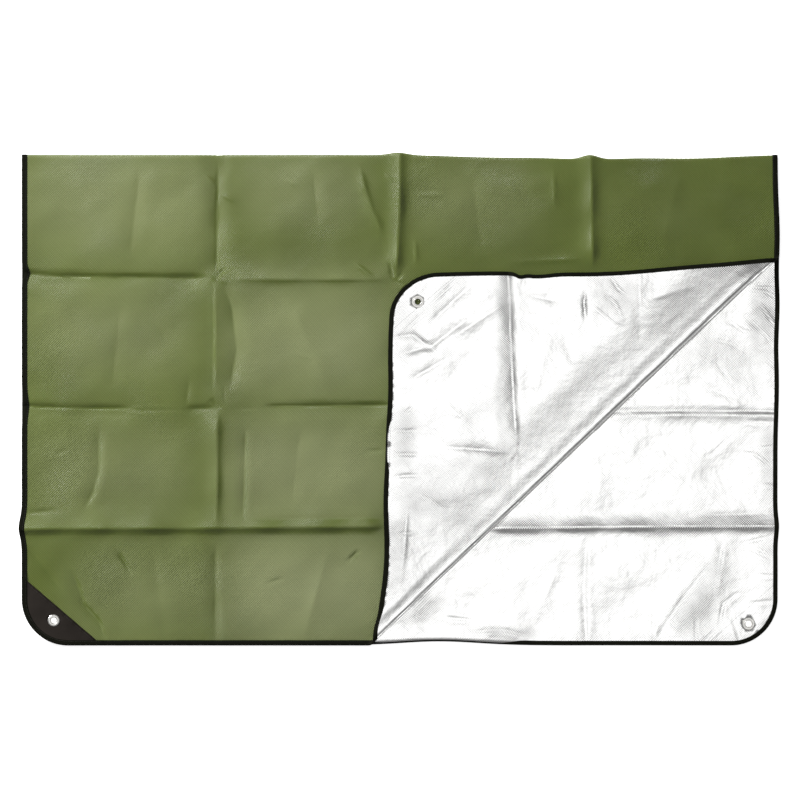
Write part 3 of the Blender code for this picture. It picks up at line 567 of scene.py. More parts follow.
def front_height(x, y):
    """The upper half, where it lies over the lower one."""
    along, past = fold_frame(x, y)
    height = FRONT_BASE + FRONT_NEAR_ROLL * (1 - ease((-past - NEAR_ROLL_FROM) / NEAR_ROLL_EASE))
    height = mix(height, FRONT_CORNER, near_corner(x, y, -WIDTH / 2, -DEPTH / 2))
    height = height + creased(FRONT_CREASES, x, y) * away(x, y, FRONT_EYELETS) + swelled(x, y)
    height = np.maximum(height, back_height(x, y) + CLOTH + GAP)
    top_line = DEPTH / 2 - TOP_RADIUS
    at_top = np.full_like(x, top_line)
    top_creases = np.clip(creased(FRONT_CREASES, x, at_top), -2 * MM, None)
    top_height = back_height(x, at_top) + 2 * TOP_RADIUS + top_creases
    return mix(top_height, height, ease((top_line - y) / TOP_EASE))


def roll_foot(along):
    """The height of the upper half where it goes into the roll."""
    return front_height(*from_fold(along, -roll_radius(along)))


def flap_height(x, y, along, inside):
    """The turned back corner, which comes down from the roll to lie on the upper half."""
    corner = near_corner(x, y, *FLAP_CORNER)
    height = mix(FRONT_BASE + FLAP_ABOVE_FRONT, FLAP_CORNER_HEIGHT, corner) + swelled(x, y)
    height = height + CARRIED * np.clip(creased(FRONT_CREASES, x, y), 0, None)
    height = height + creased(FLAP_CREASES, x, y) * away(x, y, FLAP_EYELETS)
    lowest = front_height(x, y) + CLOTH + GAP + corner * (PATCH_THICK + GAP)
    height = np.maximum(height, lowest)
    past_roll = inside - roll_radius(along)
    settled = ease(past_roll / FLAP_SETTLE)
    dropped = FOLD_DROP * ease(past_roll / FOLD_DROP_WIDTH) * (1 - settled)
    return mix(roll_foot(along) + 2 * roll_radius(along), height, settled) - dropped


# Where each point of the flat cloth lies

def pulled(rows, x, y):
    """The sideways shift at a point of a layer."""
    shift = np.zeros((*np.shape(x), 2))
    for row in rows:
        share = np.exp(-(((x - row.x) / (row.reach_x * MM)) ** 2) - ((y - row.y) / (row.reach_y * MM)) ** 2)
        shift = shift + share[..., None] * np.array([row.dx, row.dy]) * MM
    return shift


def lie(s, t):
    """Where points of the flat cloth come to lie, as an array of x, y, z rows."""
    s, t = np.broadcast_arrays(np.asarray(s, float), np.asarray(t, float))
    quarter = math.pi / 2

    # lower half and top fold
    turn = np.clip((t - HALF) / TOP_RADIUS, -quarter, quarter)
    top_line = DEPTH / 2 - TOP_RADIUS
    x = s.copy()
    y = np.minimum(np.where(t < HALF, t - DEPTH / 2, LENGTH - DEPTH / 2 - t), top_line)
    z = back_height(x, y)
    in_top_fold = np.abs(t - HALF) < quarter * TOP_RADIUS + ROUNDING
    at_top = np.full_like(x, top_line)
    z_fold = back_height(x, at_top) + TOP_RADIUS * (1 + np.sin(turn))
    z_fold = z_fold + creased(FRONT_CREASES, x, at_top) * ease((1 + np.sin(turn)) / 2)
    z = np.where(in_top_fold, z_fold, z)
    y_out = np.where(in_top_fold, top_line + TOP_RADIUS * np.cos(turn), y)

    # upper half, the roll, and the turned back corner
    upper = (t > HALF) & ~in_top_fold
    along, past = fold_frame(x, y)
    radius = roll_radius(along)
    roll = np.clip(past / radius - ROLL_TAKES, -quarter, quarter)
    in_flap = upper & (past / radius - ROLL_TAKES > quarter)
    in_roll = upper & (roll > -quarter) & ~in_flap
    front = upper & ~in_roll & ~in_flap
    inside = np.where(in_flap, past - (2 * ROLL_TAKES + 1) * radius, 0)
    flap_along = along + SLIDE * inside
    depth_in = np.where(in_roll, radius * (1 - np.cos(roll)), -past)
    depth_in = np.where(in_flap, radius + SHORTEN * inside, depth_in)
    turned_x, turned_y = from_fold(flap_along, -depth_in)
    z = np.where(front, front_height(x, y), z)
    z = np.where(in_roll, roll_foot(along) + radius * (1 + np.sin(roll)), z)
    z = np.where(in_flap, flap_height(turned_x, turned_y, flap_along, depth_in), z)
    folded = in_roll | in_flap
    x = np.where(folded, turned_x, x)
    y_out = np.where(folded, turned_y, y_out)
    shift = pulled(EVERY_LAYER_PULLS, x, y_out)
    flap_share = in_flap * ease((depth_in - radius) / PULL_FADE)
    for rows, share in ((BACK_PULLS, t < HALF), (FRONT_PULLS, front), (FLAP_PULLS, flap_share)):
        shift = shift + pulled(rows, x, y_out) * share[..., None]
    plan = np.stack([x, y_out], axis=-1) + shift + CENTRING
    return np.concatenate([plan, z[..., None]], axis=-1)


def normal(s, t):
    """The cloth's unit normals, out of its silver side."""
    across = lie(s + NORMAL_STEP, t) - lie(s - NORMAL_STEP, t)
    down = lie(s, t + NORMAL_STEP) - lie(s, t - NORMAL_STEP)
    return unit(np.cross(across, down))


def flat_of_front(x, y):
    return np.stack([x, LENGTH - DEPTH / 2 - y], axis=-1)


def flat_of_back(x, y):
    return np.stack([x, y + DEPTH / 2], axis=-1)


def flat_of_flap(x, y):
    """The point of the flat cloth that lies at a point of the turned back corner."""
    flap_along, past = fold_frame(x, y)
    along = flap_along
    for _ in range(ROUNDS):
        radius = roll_radius(along)
        inside = (-past - radius) / SHORTEN
        along = flap_along - SLIDE * inside
    return flat_of_front(*from_fold(along, inside + (2 * ROLL_TAKES + 1) * radius))


def on_roll(angle, along):
    """Points of the flat cloth that come to this angle of the roll."""
    return flat_of_front(*from_fold(along, (ROLL_TAKES + angle) * roll_radius(along)))


# Corners and outline of the flat cloth

def corner_point(corner):
    return np.array([corner.side * WIDTH / 2, corner.end * LENGTH])


def corner_inward(corner):
    """The signs of the two directions that lead from a corner into the cloth."""
    return np.array([-corner.side, 1 - 2 * corner.end])


def eyelet_place(corner):
    return corner_point(corner) + corner_inward(corner) * np.array([corner.eyelet_s, corner.eyelet_t])


def circle(centre, radius, steps):
    angles = [2 * math.pi * n / steps for n in range(steps)]
    return np.array([centre + radius * np.array([math.cos(a), math.sin(a)]) for a in angles])


def in_cloth(points, inset):
    """Which points are inside the cloth's rounded outline by more than inset."""
    s, t = np.abs(points[:, 0]), np.minimum(points[:, 1], LENGTH - points[:, 1])
    ds, dt = s - (WIDTH / 2 - CORNER_RADIUS), CORNER_RADIUS - t
    in_arc = (ds < 0) | (dt < 0) | (np.hypot(ds, dt) < CORNER_RADIUS - inset)
    return (s < WIDTH / 2 - inset) & (t > inset) & in_arc


def outline():
    """Points close together round the raw edge, counter-clockwise, and the inward direction at each."""
    side, low, high = WIDTH / 2 - CORNER_RADIUS, CORNER_RADIUS, LENGTH - CORNER_RADIUS
    centres = np.array([(side, low), (side, high), (-side, high), (-side, low)])
    points, inward = [], []
    for number, (centre, first) in enumerate(zip(centres, (270, 0, 90, 180))):
        steps = math.ceil(CORNER_RADIUS * math.pi / 2 / BORDER_STEP)
        spokes = [spoke(first + 90 * step / steps) for step in range(steps)]
        last = spoke(first + 90)
        start = centre + CORNER_RADIUS * last
        end = centres[(number + 1) % 4] + CORNER_RADIUS * last
        steps = math.ceil(np.linalg.norm(end - start) / BORDER_STEP)
        points += [centre + CORNER_RADIUS * each for each in spokes]
        points += [mix(start, end, step / steps) for step in range(steps)]
        inward += [-each for each in spokes + [last] * steps]
    return np.array(points), np.array(inward)


def stations():
    """Points round the raw edge, closer together where the cloth bends, and the inward direction at each."""
    points, inward = outline()
    out = normal(*points.T)
    step = np.linalg.norm(np.roll(points, -1, axis=0) - points, axis=1)
    turn = np.linalg.norm(np.roll(out, -1, axis=0) - out, axis=1)
    spent = np.concatenate([[0], np.cumsum(step / STATION_LENGTH + turn / STATION_TURN)])
    count = round(spent[-1])
    places = np.searchsorted(spent, np.arange(count) * spent[-1] / count + ROUNDING) - 1
    return points[places], inward[places]


# Meshes

def grid_faces(rows, columns, ring=True):
    """Quads of a grid of points whose columns close on themselves, and whose rows do too in a ring."""
    faces = []
    for row in range(rows if ring else rows - 1):
        after = (row + 1) % rows
        for column in range(columns):
            beside = (column + 1) % columns
            faces.append((row * columns + column, row * columns + beside, after * columns + beside,
                          after * columns + column))
    return faces


def piece(name, vertices, faces, materials, slot, nodes=(), flat=None, look=None):
    """A smooth mesh that rides on the tarp, with the flat cloth's coordinates as its texture's."""
    mesh = bpy.data.meshes.new(name)
    mesh.from_pydata(np.asarray(vertices).tolist(), [], faces)
    for material in materials:
        mesh.materials.append(material)
    if flat is not None:
        layer = mesh.uv_layers.new(name="flat")
        number = np.empty(len(mesh.loops), int)
        mesh.loops.foreach_get("vertex_index", number)
        layer.data.foreach_set("uv", np.asarray(flat)[number].ravel())
    # A second layer carries the silver side's slack and the green side's painted sheen.
    if look is not None:
        layer = mesh.uv_layers.new(name="look")
        layer.data.foreach_set("uv", np.asarray(look)[number].ravel())
    mesh.shade_smooth()
    body = bpy.data.objects.new(name, mesh)
    bpy.context.scene.collection.objects.link(body)
    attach(body, "root")
    if nodes:
        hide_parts(*nodes)
    return body


def flat_coordinates(points):
    """Flat places in metres, as texture coordinates of one scale both ways."""
    return (points + np.array([WIDTH / 2, 0])) / LENGTH


def triangulated(points, edges, holes):
    """(points, triangles) of the flat triangulation, without those inside the holes."""
    made = delaunay_2d_cdt(points.tolist(), edges, [], 0, MERGE)
    points = np.array([tuple(p) for p in made[0]])
    faces = np.array(made[2])
    middle = points[faces].mean(axis=1)
    keep = np.ones(len(faces), bool)
    for hole in holes:
        keep &= np.hypot(*(middle - hole).T) > CLOTH_HOLE
    faces = faces[keep]
    corner = points[faces]
    turn = np.cross(corner[:, 1] - corner[:, 0], corner[:, 2] - corner[:, 0])
    return points, np.where(turn[:, None] > 0, faces, faces[:, ::-1])


def plate(points, faces, low, high):
    """The shell between two distances from the cloth's middle: (vertices, faces)."""
    place, out = lie(*points.T), normal(*points.T)
    edges = np.concatenate([faces[:, [0, 1]], faces[:, [1, 2]], faces[:, [2, 0]]])
    used = set(map(tuple, edges.tolist()))
    rim = [edge for edge in used if edge[::-1] not in used]
    count = len(points)
    vertices = np.concatenate([place + high * out, place + low * out])
    solid = faces.tolist() + (faces[:, ::-1] + count).tolist()
    solid += [(b, a, a + count, b + count) for a, b in rim]
    return vertices, solid


def spaced(line, step, beside=0):
    """Points evenly spaced along a line of points, or this far to the left of it."""
    line = np.asarray(line, float)
    length = run_along(line)[-1]
    points = points_at(line, np.linspace(0, length, max(2, math.ceil(length / step) + 1)))
    if beside:
        ahead = np.gradient(points, axis=0)
        left = np.stack([-ahead[:, 1], ahead[:, 0]], axis=1)
        points = points + beside * left / np.linalg.norm(left, axis=1, keepdims=True)
    return points


def crest_points():
    """Points of the flat cloth along every crease's crest, and then beside it."""
    found = []
    for beside in (0, FLANK_STEP, -FLANK_STEP):
        for row in BACK_CREASES:
            found.append(flat_of_back(*spaced(row.points, LINE_STEP, beside).T))
        for row in FRONT_CREASES:
            line = spaced(row.points, LINE_STEP, beside)
            line = line[(fold_frame(*line.T)[1] < -FINE) & (line[:, 1] < DEPTH / 2 - 3 * TOP_RADIUS)]
            found.append(flat_of_front(*line.T))
        for row in FLAP_CREASES:
            line = spaced(row.points, LINE_STEP, beside)
            along, past = fold_frame(*line.T)
            found.append(flat_of_flap(*line[-past > roll_radius(along) + FINE].T))
    return np.concatenate(found)


def tree_of(points):
    tree = KDTree(len(points))
    for number, point in enumerate(points.tolist()):
        tree.insert((*point, 0), number)
    tree.balance()
    return tree


def distances(tree, points):
    return np.array([tree.find((*point, 0))[2] for point in points.tolist()])


def covered(points):
    """Which points of the flat cloth lie under another layer, away from where it ends."""
    back = points[:, 1] < HALF
    y = np.where(back, points[:, 1] - DEPTH / 2, LENGTH - DEPTH / 2 - points[:, 1])
    past = fold_frame(points[:, 0], y)[1]
    under_front = back & (past < -COVERED_MARGIN)
    corners = [FOLD_FROM, FOLD_TO, FLAP_CORNER]
    under_flap = ~back
    for start, end in zip(corners, corners[1:] + corners[:1]):
        under_flap &= left_of(start, end, points[:, 0], y) > COVERED_MARGIN
    return under_front | under_flap


def lattice():
    """Points of a triangular lattice, with the step that each belongs to: FINE, VISIBLE or COVERED."""
    rows = int(LENGTH / (FINE * math.sqrt(0.75)))
    columns = int(WIDTH / FINE)
    row, column = np.meshgrid(np.arange(rows), np.arange(columns), indexing="ij")
    row, column = row.ravel(), column.ravel()
    points = np.stack([(column + 0.5 * (row % 2)) * FINE - WIDTH / 2, row * FINE * math.sqrt(0.75)], axis=1)
    step = np.full(len(points), FINE)
    half_row = row // 2
    even = (row % 2 == 0) & ((column - half_row % 2) % 2 == 0)
    step[even] = VISIBLE
    half_column = (column - half_row % 2) // 2
    step[even & (half_row % 2 == 0) & ((half_column - (half_row // 2) % 2) % 2 == 0)] = COVERED
    return points, step


def cloth_points(edge, holes):
    """All points of the cloth's flat mesh, and the edges that its outline and its holes need."""
    loops = [edge] + holes
    edges, start = [], 0
    for loop in loops:
        edges += loop_edges(len(loop), start)
        start += len(loop)
    lines = []
    s = np.linspace(-WIDTH / 2, WIDTH / 2, math.ceil(WIDTH / VISIBLE))
    for step in range(TOP_LINES + 1):
        t = HALF + TOP_RADIUS * math.pi * (step / TOP_LINES - 0.5)
        lines.append(np.stack([s, np.full_like(s, t)], axis=1))
    along = np.arange(-ROLL_OVERRUN, FOLD_LENGTH + ROLL_OVERRUN, LINE_STEP)
    for step in range(ROLL_LINES + 1):
        lines.append(on_roll(math.pi * (step / ROLL_LINES - 0.5), along))
    for step in range(1, DROP_LINES + 1):
        inside = FOLD_DROP_WIDTH * step / DROP_LINES
        lines.append(on_roll(math.pi / 2 + inside / roll_radius(along), along))
    lines = np.concatenate(lines)
    lines = lines[in_cloth(lines, 0.4 * LINE_STEP)]
    crests = crest_points()
    crests = crests[in_cloth(crests, 0.5 * LINE_STEP)]
    crests = crests[distances(tree_of(lines), crests) > CLEAR * FINE]
    kept = []
    tree = tree_of(crests)
    for number, point in enumerate(crests.tolist()):
        if all(index >= number for _, index, _ in tree.find_range((*point, 0), CLEAR * FINE)):
            kept.append(point)
    crests = np.array(kept)
    points, step = lattice()
    inside = in_cloth(points, CLEAR * FINE)
    points, step = points[inside], step[inside]
    fine_near = tree_of(np.concatenate([crests, lines]))
    is_covered = covered(points)
    candidate = ~is_covered | (step == COVERED)
    points, step, is_covered = points[candidate], step[candidate], is_covered[candidate]
    to_fine = distances(fine_near, points)
    needed = np.where(is_covered, COVERED, np.where(to_fine < FINE_REACH, FINE, VISIBLE))
    clear = (step >= needed) & (to_fine > CLEAR * needed)
    to_border = distances(tree_of(np.concatenate(loops)), points)
    clear &= to_border > CLEAR * np.minimum(needed, VISIBLE)
    points = points[clear]
    for hole in holes:
        points = points[np.hypot(*(points - hole.mean(axis=0)).T) > CLOTH_HOLE + CLEAR * FINE]
    return np.concatenate([*loops, lines, crests, points]), edges


# Materials

class Nodes:
    """The nodes of a material or of the sky."""

    def __init__(self, owner):
        owner.use_nodes = True
        self.tree = owner.node_tree

    def feed(self, socket, value):
        """Link another socket to this one, or set its value."""
        if isinstance(value, bpy.types.NodeSocket):
            self.tree.links.new(value, socket)
        else:
            socket.default_value = (*value, 1) if socket.type == "RGBA" else value

    def node(self, kind, inputs=(), **settings):
        made = self.tree.nodes.new(kind)
        for name, value in settings.items():
            setattr(made, name, value)
        for key, value in dict(inputs).items():
            self.feed(made.inputs[key], value)
        return made


class Shader(Nodes):
    """A material and its nodes."""

    def __init__(self, name, roughness, metallic=0.0):
        self.material = bpy.data.materials.new(name)
        super().__init__(self.material)
        self.set("Roughness", roughness)
        self.set("Metallic", metallic)

    def set(self, name, value):
        self.feed(self.tree.nodes["Principled BSDF"].inputs[name], value)

    def maths(self, operation, *values):
        return self.node("ShaderNodeMath", enumerate(values), operation=operation).outputs[0]

    def layer(self, name):
        """The two numbers that the mesh carries under this name."""
        place = self.node("ShaderNodeUVMap", uv_map=name).outputs[0]
        return self.node("ShaderNodeSeparateXYZ", {0: place}).outputs

    def flat(self, scale):
        """The flat cloth's coordinates, in turns of this length."""
        layer = self.layer("flat")
        return [self.maths("MULTIPLY", layer[axis], 2 * math.pi * LENGTH / scale) for axis in (0, 1)]

    def noise(self, scale, detail, low=0.0, high=1.0, start=0.3, end=0.7):
        """Noise over the place. Its values from start to end are spread from low to high."""
        place = self.node("ShaderNodeTexCoord").outputs["Object"]
        values = {"Vector": place, "Scale": scale, "Detail": detail, "Roughness": 0.5}
        made = self.node("ShaderNodeTexNoise", values).outputs[0]
        spread = {"Value": made, "From Min": start, "From Max": end, "To Min": low, "To Max": high}
        return self.node("ShaderNodeMapRange", spread).outputs[0]

    def woven(self, pitch, slope):
        """A weave's normal: waves of this pitch both ways. slope is a number or a socket."""
        across, down = self.flat(pitch)
        sines = [self.maths("SINE", angle) for angle in (across, down)]
        cosines = [self.maths("COSINE", angle) for angle in (across, down)]
        tilts = []
        for cosine, sine in ((cosines[0], sines[1]), (cosines[1], sines[0])):
            wave = self.maths("MULTIPLY", cosine, sine)
            tilts.append(self.maths("MULTIPLY_ADD", self.maths("MULTIPLY", wave, slope), 0.5, 0.5))
        colour = self.node("ShaderNodeCombineXYZ", {0: tilts[0], 1: tilts[1], 2: 1.0}).outputs[0]
        made = self.node("ShaderNodeNormalMap", {"Color": colour}, uv_map="flat")
        return made.outputs[0], self.maths("MULTIPLY", sines[0], sines[1])

    def bumped(self, height, distance, strength, normal=None):
        values = {"Height": height, "Distance": distance, "Strength": strength}
        if normal is not None:
            values["Normal"] = normal
        return self.node("ShaderNodeBump", values).outputs[0]

    def coloured(self, first, second, share):
        """A colour between two, by a socket."""
        made = self.node("ShaderNodeMix", {0: share}, data_type="RGBA")
        for name, colour in (("A", first), ("B", second)):
            self.feed(next(s for s in made.inputs if s.type == "RGBA" and s.name == name), colour)
        return next(socket for socket in made.outputs if socket.type == "RGBA")


WEAVE = 4.8 * MM
TAPE_WEAVE = 1.7 * MM


def silver_material():
    shader = Shader("silver_film", 0.14, 1.0)
    broken = shader.maths("MULTIPLY", shader.layer("look")[0], shader.noise(26, 3, low=0.10, high=0.25))
    slope = shader.maths("ADD", broken, shader.noise(9, 3, low=0.05, high=0.13, start=0.46, end=0.72))
    weave, _ = shader.woven(WEAVE, slope)
    crumple = shader.noise(24, 3)
    shader.set("Normal", shader.bumped(crumple, 0.9 * MM, 1.0, weave))
    shader.set("Base Color", (0.93, 0.93, 0.92))
    return shader.material


def green_material():
    shader = Shader("green_coating", 0.36)
    weave, height = shader.woven(WEAVE, shader.noise(7, 3, low=0.25, high=0.7))
    crumple = shader.noise(26, 3)
    shader.set("Normal", shader.bumped(crumple, 0.5 * MM, 1.0, weave))
    patchy = shader.noise(5, 4)
    # The colour is darker where the weave is low: painted shade in the weave's hollows. The slow noise varies
    # its tone at random.
    share = shader.maths("MULTIPLY_ADD", height, 0.5, shader.maths("MULTIPLY_ADD", patchy, 0.3, 0.35))
    plain = shader.coloured((0.048, 0.066, 0.005), (0.112, 0.148, 0.020), share)
    # These colours are a painted sheen: a greyer, lighter green standing in for the reflection of a broad
    # light, mixed in where the mesh's second layer says.
    painted_sheen = shader.coloured((0.145, 0.165, 0.072), (0.280, 0.308, 0.145), share)
    shader.set("Base Color", shader.coloured(plain, painted_sheen, shader.layer("look")[1]))
    shader.set("Specular IOR Level", 0.5)
    return shader.material


def tape_material():
    shader = Shader("tape", 0.85)
    shader.set("Specular IOR Level", 0.04)
    weave, height = shader.woven(TAPE_WEAVE, 0.5)
    shader.set("Normal", weave)
    # Darker where the weave is low: painted shade in the weave's hollows.
    share = shader.maths("MULTIPLY_ADD", height, 0.5, 0.5)
    shader.set("Base Color", shader.coloured((0.003, 0.003, 0.002), (0.009, 0.010, 0.006), share))
    return shader.material


def patch_material():
    shader = Shader("patch", 0.6)
    shader.set("Specular IOR Level", 0.15)
    grain = shader.noise(420, 2)
    shader.set("Normal", shader.bumped(grain, 0.12 * MM, 0.6))
    patchy = shader.noise(22, 3)
    shader.set("Base Color", shader.coloured((0.011, 0.008, 0.006), (0.018, 0.014, 0.011), patchy))
    return shader.material


def metal_material():
    shader = Shader("eyelet_metal", 0.26, 1.0)
    shader.set("Roughness", shader.noise(260, 3, low=0.2, high=0.36))
    shader.set("Base Color", (0.74, 0.73, 0.70))
    return shader.material


def thread_material():
    shader = Shader("thread", 0.7)
    shader.set("Base Color", (0.020, 0.020, 0.017))
    return shader.material


# Pieces

def shown(rows, x, y):
    """The largest share that these areas give each place."""
    shares = np.zeros(x.shape)
    for row in rows:
        turn = math.radians(row.turn)
        along = ((x - row.x) * math.cos(turn) + (y - row.y) * math.sin(turn)) / row.long
        across = ((y - row.y) * math.cos(turn) - (x - row.x) * math.sin(turn)) / row.wide
        shares = np.maximum(shares, row.share * np.exp(-along ** 4 - across ** 2))
    return shares


# How steep the green side may be and still carry its painted sheen: its normal's height where the painted
# sheen starts and is full. Steeper places, such as crease flanks, lose it and so are painted darker, a
# painted shade.
PAINTED_SHEEN_FROM = 0.955
PAINTED_SHEEN_EASE = 0.035


def looks(points):
    """How slack the silver side is, and how strong the green side's painted sheen is, at points of the flat
    cloth.
    """
    x, y, _ = lie(*points.T).T
    slack = np.where(points[:, 1] > HALF, shown(FLAP_SLACK, x, y), shown(BACK_SLACK, x, y))
    # The painted sheen fades where the cloth tilts, so crease flanks are painted darker: painted shade.
    level = np.clip((np.abs(normal(*points.T)[:, 2]) - PAINTED_SHEEN_FROM) / PAINTED_SHEEN_EASE, 0, 1)
    return np.stack([slack, shown(FRONT_PAINTED_SHEEN, x, y) * level], axis=1)


def make_cloth(edge, materials):
    holes = [circle(eyelet_place(corner), CLOTH_HOLE, HOLE_STEPS) for corner in CORNERS]
    points, edges = cloth_points(edge, holes)
    points, faces = triangulated(points, edges, [eyelet_place(corner) for corner in CORNERS])
    vertices, solid = plate(points, faces, -CLOTH / 2, CLOTH / 2)
    flat = flat_coordinates(np.concatenate([points, points]))
    # The silver side's slack and the green side's painted sheen, for both faces of the shell.
    look = np.tile(looks(points), (2, 1))
    body = piece("tarp_sheet", vertices, solid, materials, "cloth", ["tarp_cloth"], flat, look)
    side = np.zeros(len(solid), int)
    side[len(faces):] = 1
    body.data.polygons.foreach_set("material_index", side)
    return body


def tape_lip(edge):
    """The share of the tape's width that shows on the silver side, at each station."""
    share = np.ones(len(edge))
    for row in TAPE_SLIPS:
        here = np.abs(edge[:, 1] - row.t) < CLOTH
        inward = np.minimum(edge[:, 0] - row.s_from, row.s_to - edge[:, 0])
        share = np.where(here, np.minimum(share, mix(1, SLIP_LIP, ease(inward / SLIP_EASE))), share)
    return share


def patch_under(edge):
    """1 at the stations where the tape also covers a corner patch, easing to 0 elsewhere."""
    lift = np.zeros(len(edge))
    for corner in CORNERS:
        reach = np.array([corner.reach_s, corner.reach_t])
        past = (np.abs(edge - corner_point(corner)) - reach).max(axis=1)
        lift = np.maximum(lift, 1 - ease(past / PATCH_EASE))
    return lift


def make_tape(edge, inward, material):
    """The tape: a folded band round the cloth's whole edge, closed on itself."""
    lip = tape_lip(edge) * SILVER_LIP
    near = CLOTH / 2 + GAP
    far = near + TAPE_THICK
    extra = patch_under(edge) * (PATCH_THICK + GAP)
    rim, rim_out = lie(*edge.T), normal(*edge.T)
    outward = unit(rim - lie(*(edge + 2 * MM * inward).T))

    def over(depth, height):
        """Points this deep inside the edge, and this high over the cloth's middle."""
        flat = edge + np.broadcast_to(depth, len(edge))[:, None] * inward
        return lie(*flat.T) + np.broadcast_to(height, len(edge))[:, None] * normal(*flat.T)

    layer = [(1, near), (1, far - 0.15 * MM), (0.95, far), (0.6, far + 0.1 * MM), (0.25, far), (0, far)]
    section = [over(share * lip * TAPE_WIDTH, height) for share, height in layer]
    for angle in (60, 30, 0, -30, -60):
        across, up = spoke(angle)
        level = (far + extra * (angle < 0)) * up
        section.append(rim + (GAP + TAPE_THICK) * across * outward + level[:, None] * rim_out)
    section += [over(share * TAPE_WIDTH, -(height + extra)) for share, height in reversed(layer)]
    section.append(over(0.3 * TAPE_WIDTH, -(near + extra)))
    section.append(rim + GAP * outward - (near + extra)[:, None] * rim_out)
    section.append(rim + GAP * outward + near * rim_out)
    section.append(over(0.3 * lip * TAPE_WIDTH, near))
    vertices = np.stack(section, axis=1)
    run = run_along(edge) / LENGTH
    across = np.arange(len(section)) * MM / LENGTH
    flat = np.stack(np.broadcast_arrays(run[:, None], across[None, :]), axis=-1).reshape(-1, 2)
    faces = grid_faces(len(edge), len(section))
    return piece("tape_band", vertices.reshape(-1, 3), faces, [material], "tape", ["edge_tape"], flat)


def patch_outline(corner):
    """The patch's outline on the flat cloth, from its reach along the end, round the corner, to its side."""
    inward = corner_inward(corner)
    centre = corner_point(corner) + inward * CORNER_RADIUS
    radius = CORNER_RADIUS - PATCH_TUCK
    arc = []
    for step in range(ARC_STEPS + 1):
        angle = math.pi / 2 * step / ARC_STEPS
        arc.append(centre - inward * radius * np.array([math.sin(angle), math.cos(angle)]))
    shrink = 1 - PATCH_TUCK / corner.reach_t
    reach_end = corner_point(corner) + inward * np.array([corner.reach_s * shrink, PATCH_TUCK])
    shrink = 1 - PATCH_TUCK / corner.reach_s
    reach_side = corner_point(corner) + inward * np.array([PATCH_TUCK, corner.reach_t * shrink])
    return np.array([reach_end, *arc, reach_side])


def make_patch(corner, material):
    """A corner patch on the cloth's green side, its outer edge tucked under the tape."""
    corners = patch_outline(corner)
    rim = spaced(closed(corners), PATCH_STEP)[:-1]
    hole = circle(eyelet_place(corner), CLOTH_HOLE, HOLE_STEPS)
    edges = loop_edges(len(rim)) + loop_edges(len(hole), len(rim))
    points, step = lattice()
    points = points[step >= VISIBLE]
    inside = np.ones(len(points), bool)
    turn = corner_inward(corner).prod()
    for start, end in zip(rim, np.roll(rim, -1, axis=0)):
        inside &= -turn * left_of(start, end, *points.T) > PATCH_STEP / 2
    inside &= np.hypot(*(points - eyelet_place(corner)).T) > CLOTH_HOLE + PATCH_STEP / 2
    points, faces = triangulated(np.concatenate([rim, hole, points[inside]]), edges, [eyelet_place(corner)])
    high = -CLOTH / 2 - GAP
    vertices, solid = plate(points, faces, high - PATCH_THICK, high)
    name = f"patch_{corner.name}"
    return piece(f"corner_{name}", vertices, solid, [material], "patch", [name])


def eyelet_profiles():
    """Outlines of the eyelet and of its washer: (radius, height), with heights towards the patch."""
    seat = CLOTH / 2 + GAP + PATCH_THICK + GAP
    crest = BACK_CORNER
    barrel = EYELET_BORE + 0.9 * MM
    washer_top = -CLOTH / 2 - GAP
    washer_low = washer_top - 0.7 * MM
    lip = washer_low - GAP
    lip_top = lip - 0.5 * MM
    eyelet = [
        (EYELET_BORE, lip - 0.1 * MM),
        (EYELET_BORE + 0.15 * MM, lip - 0.35 * MM),
        (EYELET_BORE + 0.5 * MM, lip_top),
        (barrel + 1.4 * MM, lip_top),
        (barrel + 1.68 * MM, lip - 0.35 * MM),
        (barrel + 1.8 * MM, lip),
        (barrel, lip),
        (barrel, seat),
        (EYELET_RADIUS, seat),
        (EYELET_RADIUS, seat + 0.3 * MM),
        (11.6 * MM, seat + 0.75 * MM),
        (10.7 * MM, crest - 0.22 * MM),
        (9.6 * MM, crest),
        (7.9 * MM, crest),
        (7.0 * MM, crest - 0.2 * MM),
        (6.3 * MM, crest - 0.6 * MM),
        (EYELET_BORE, crest - 1.1 * MM),
    ]
    washer = [
        (barrel + GAP, washer_low),
        (EYELET_RADIUS - 0.4 * MM, washer_low),
        (EYELET_RADIUS, washer_top - 0.2 * MM),
        (EYELET_RADIUS, washer_top),
        (barrel + GAP, washer_top),
    ]
    return eyelet, washer


def make_eyelet(corner, material):
    """The eyelet through a corner and the washer behind it, as [eyelet, washer]."""
    place = eyelet_place(corner)[None, :]
    centre = lie(*place.T)[0]
    up = -normal(*place.T)[0]
    across = unit(np.cross([0, 1, 0], up))
    along = np.cross(up, across)
    angles = np.arange(RING_STEPS) * 2 * math.pi / RING_STEPS
    made = []
    for name, profile in zip(("eyelet", "washer"), eyelet_profiles()):
        radius, height = np.array(profile).T
        spokes = np.cos(angles)[:, None] * across + np.sin(angles)[:, None] * along
        vertices = centre + spokes[:, None, :] * radius[None, :, None] + height[None, :, None] * up
        faces = grid_faces(RING_STEPS, len(profile))
        body = piece(f"{name}_ring_{corner.name}", vertices.reshape(-1, 3), faces, [material], "eyelet_metal",
                     [f"{name}_{corner.name}"])
        body.data.set_sharp_from_angle(angle=math.radians(SHARP_ANGLE))
        made.append(body)
    return made


# Stitches: pitch, the share of it that the thread shows for and where that starts, and the thread's radius
STITCH = 3.6 * MM
STITCH_SHOWN = 0.72
STITCH_START = 0.14
THREAD = 0.28 * MM
THREAD_SIDES = 5
# How far in the tape's seam is, as a share of its width, and the seam of a patch's slanting edge
SEAM = 0.78
PATCH_SEAM = 4.5 * MM
# The share of a stitch's length and the height in millimetres of each ring of its thread
THREAD_RINGS = [(0, -0.10), (0.22, 0.18), (0.5, 0.24), (0.78, 0.18), (1, -0.10)]


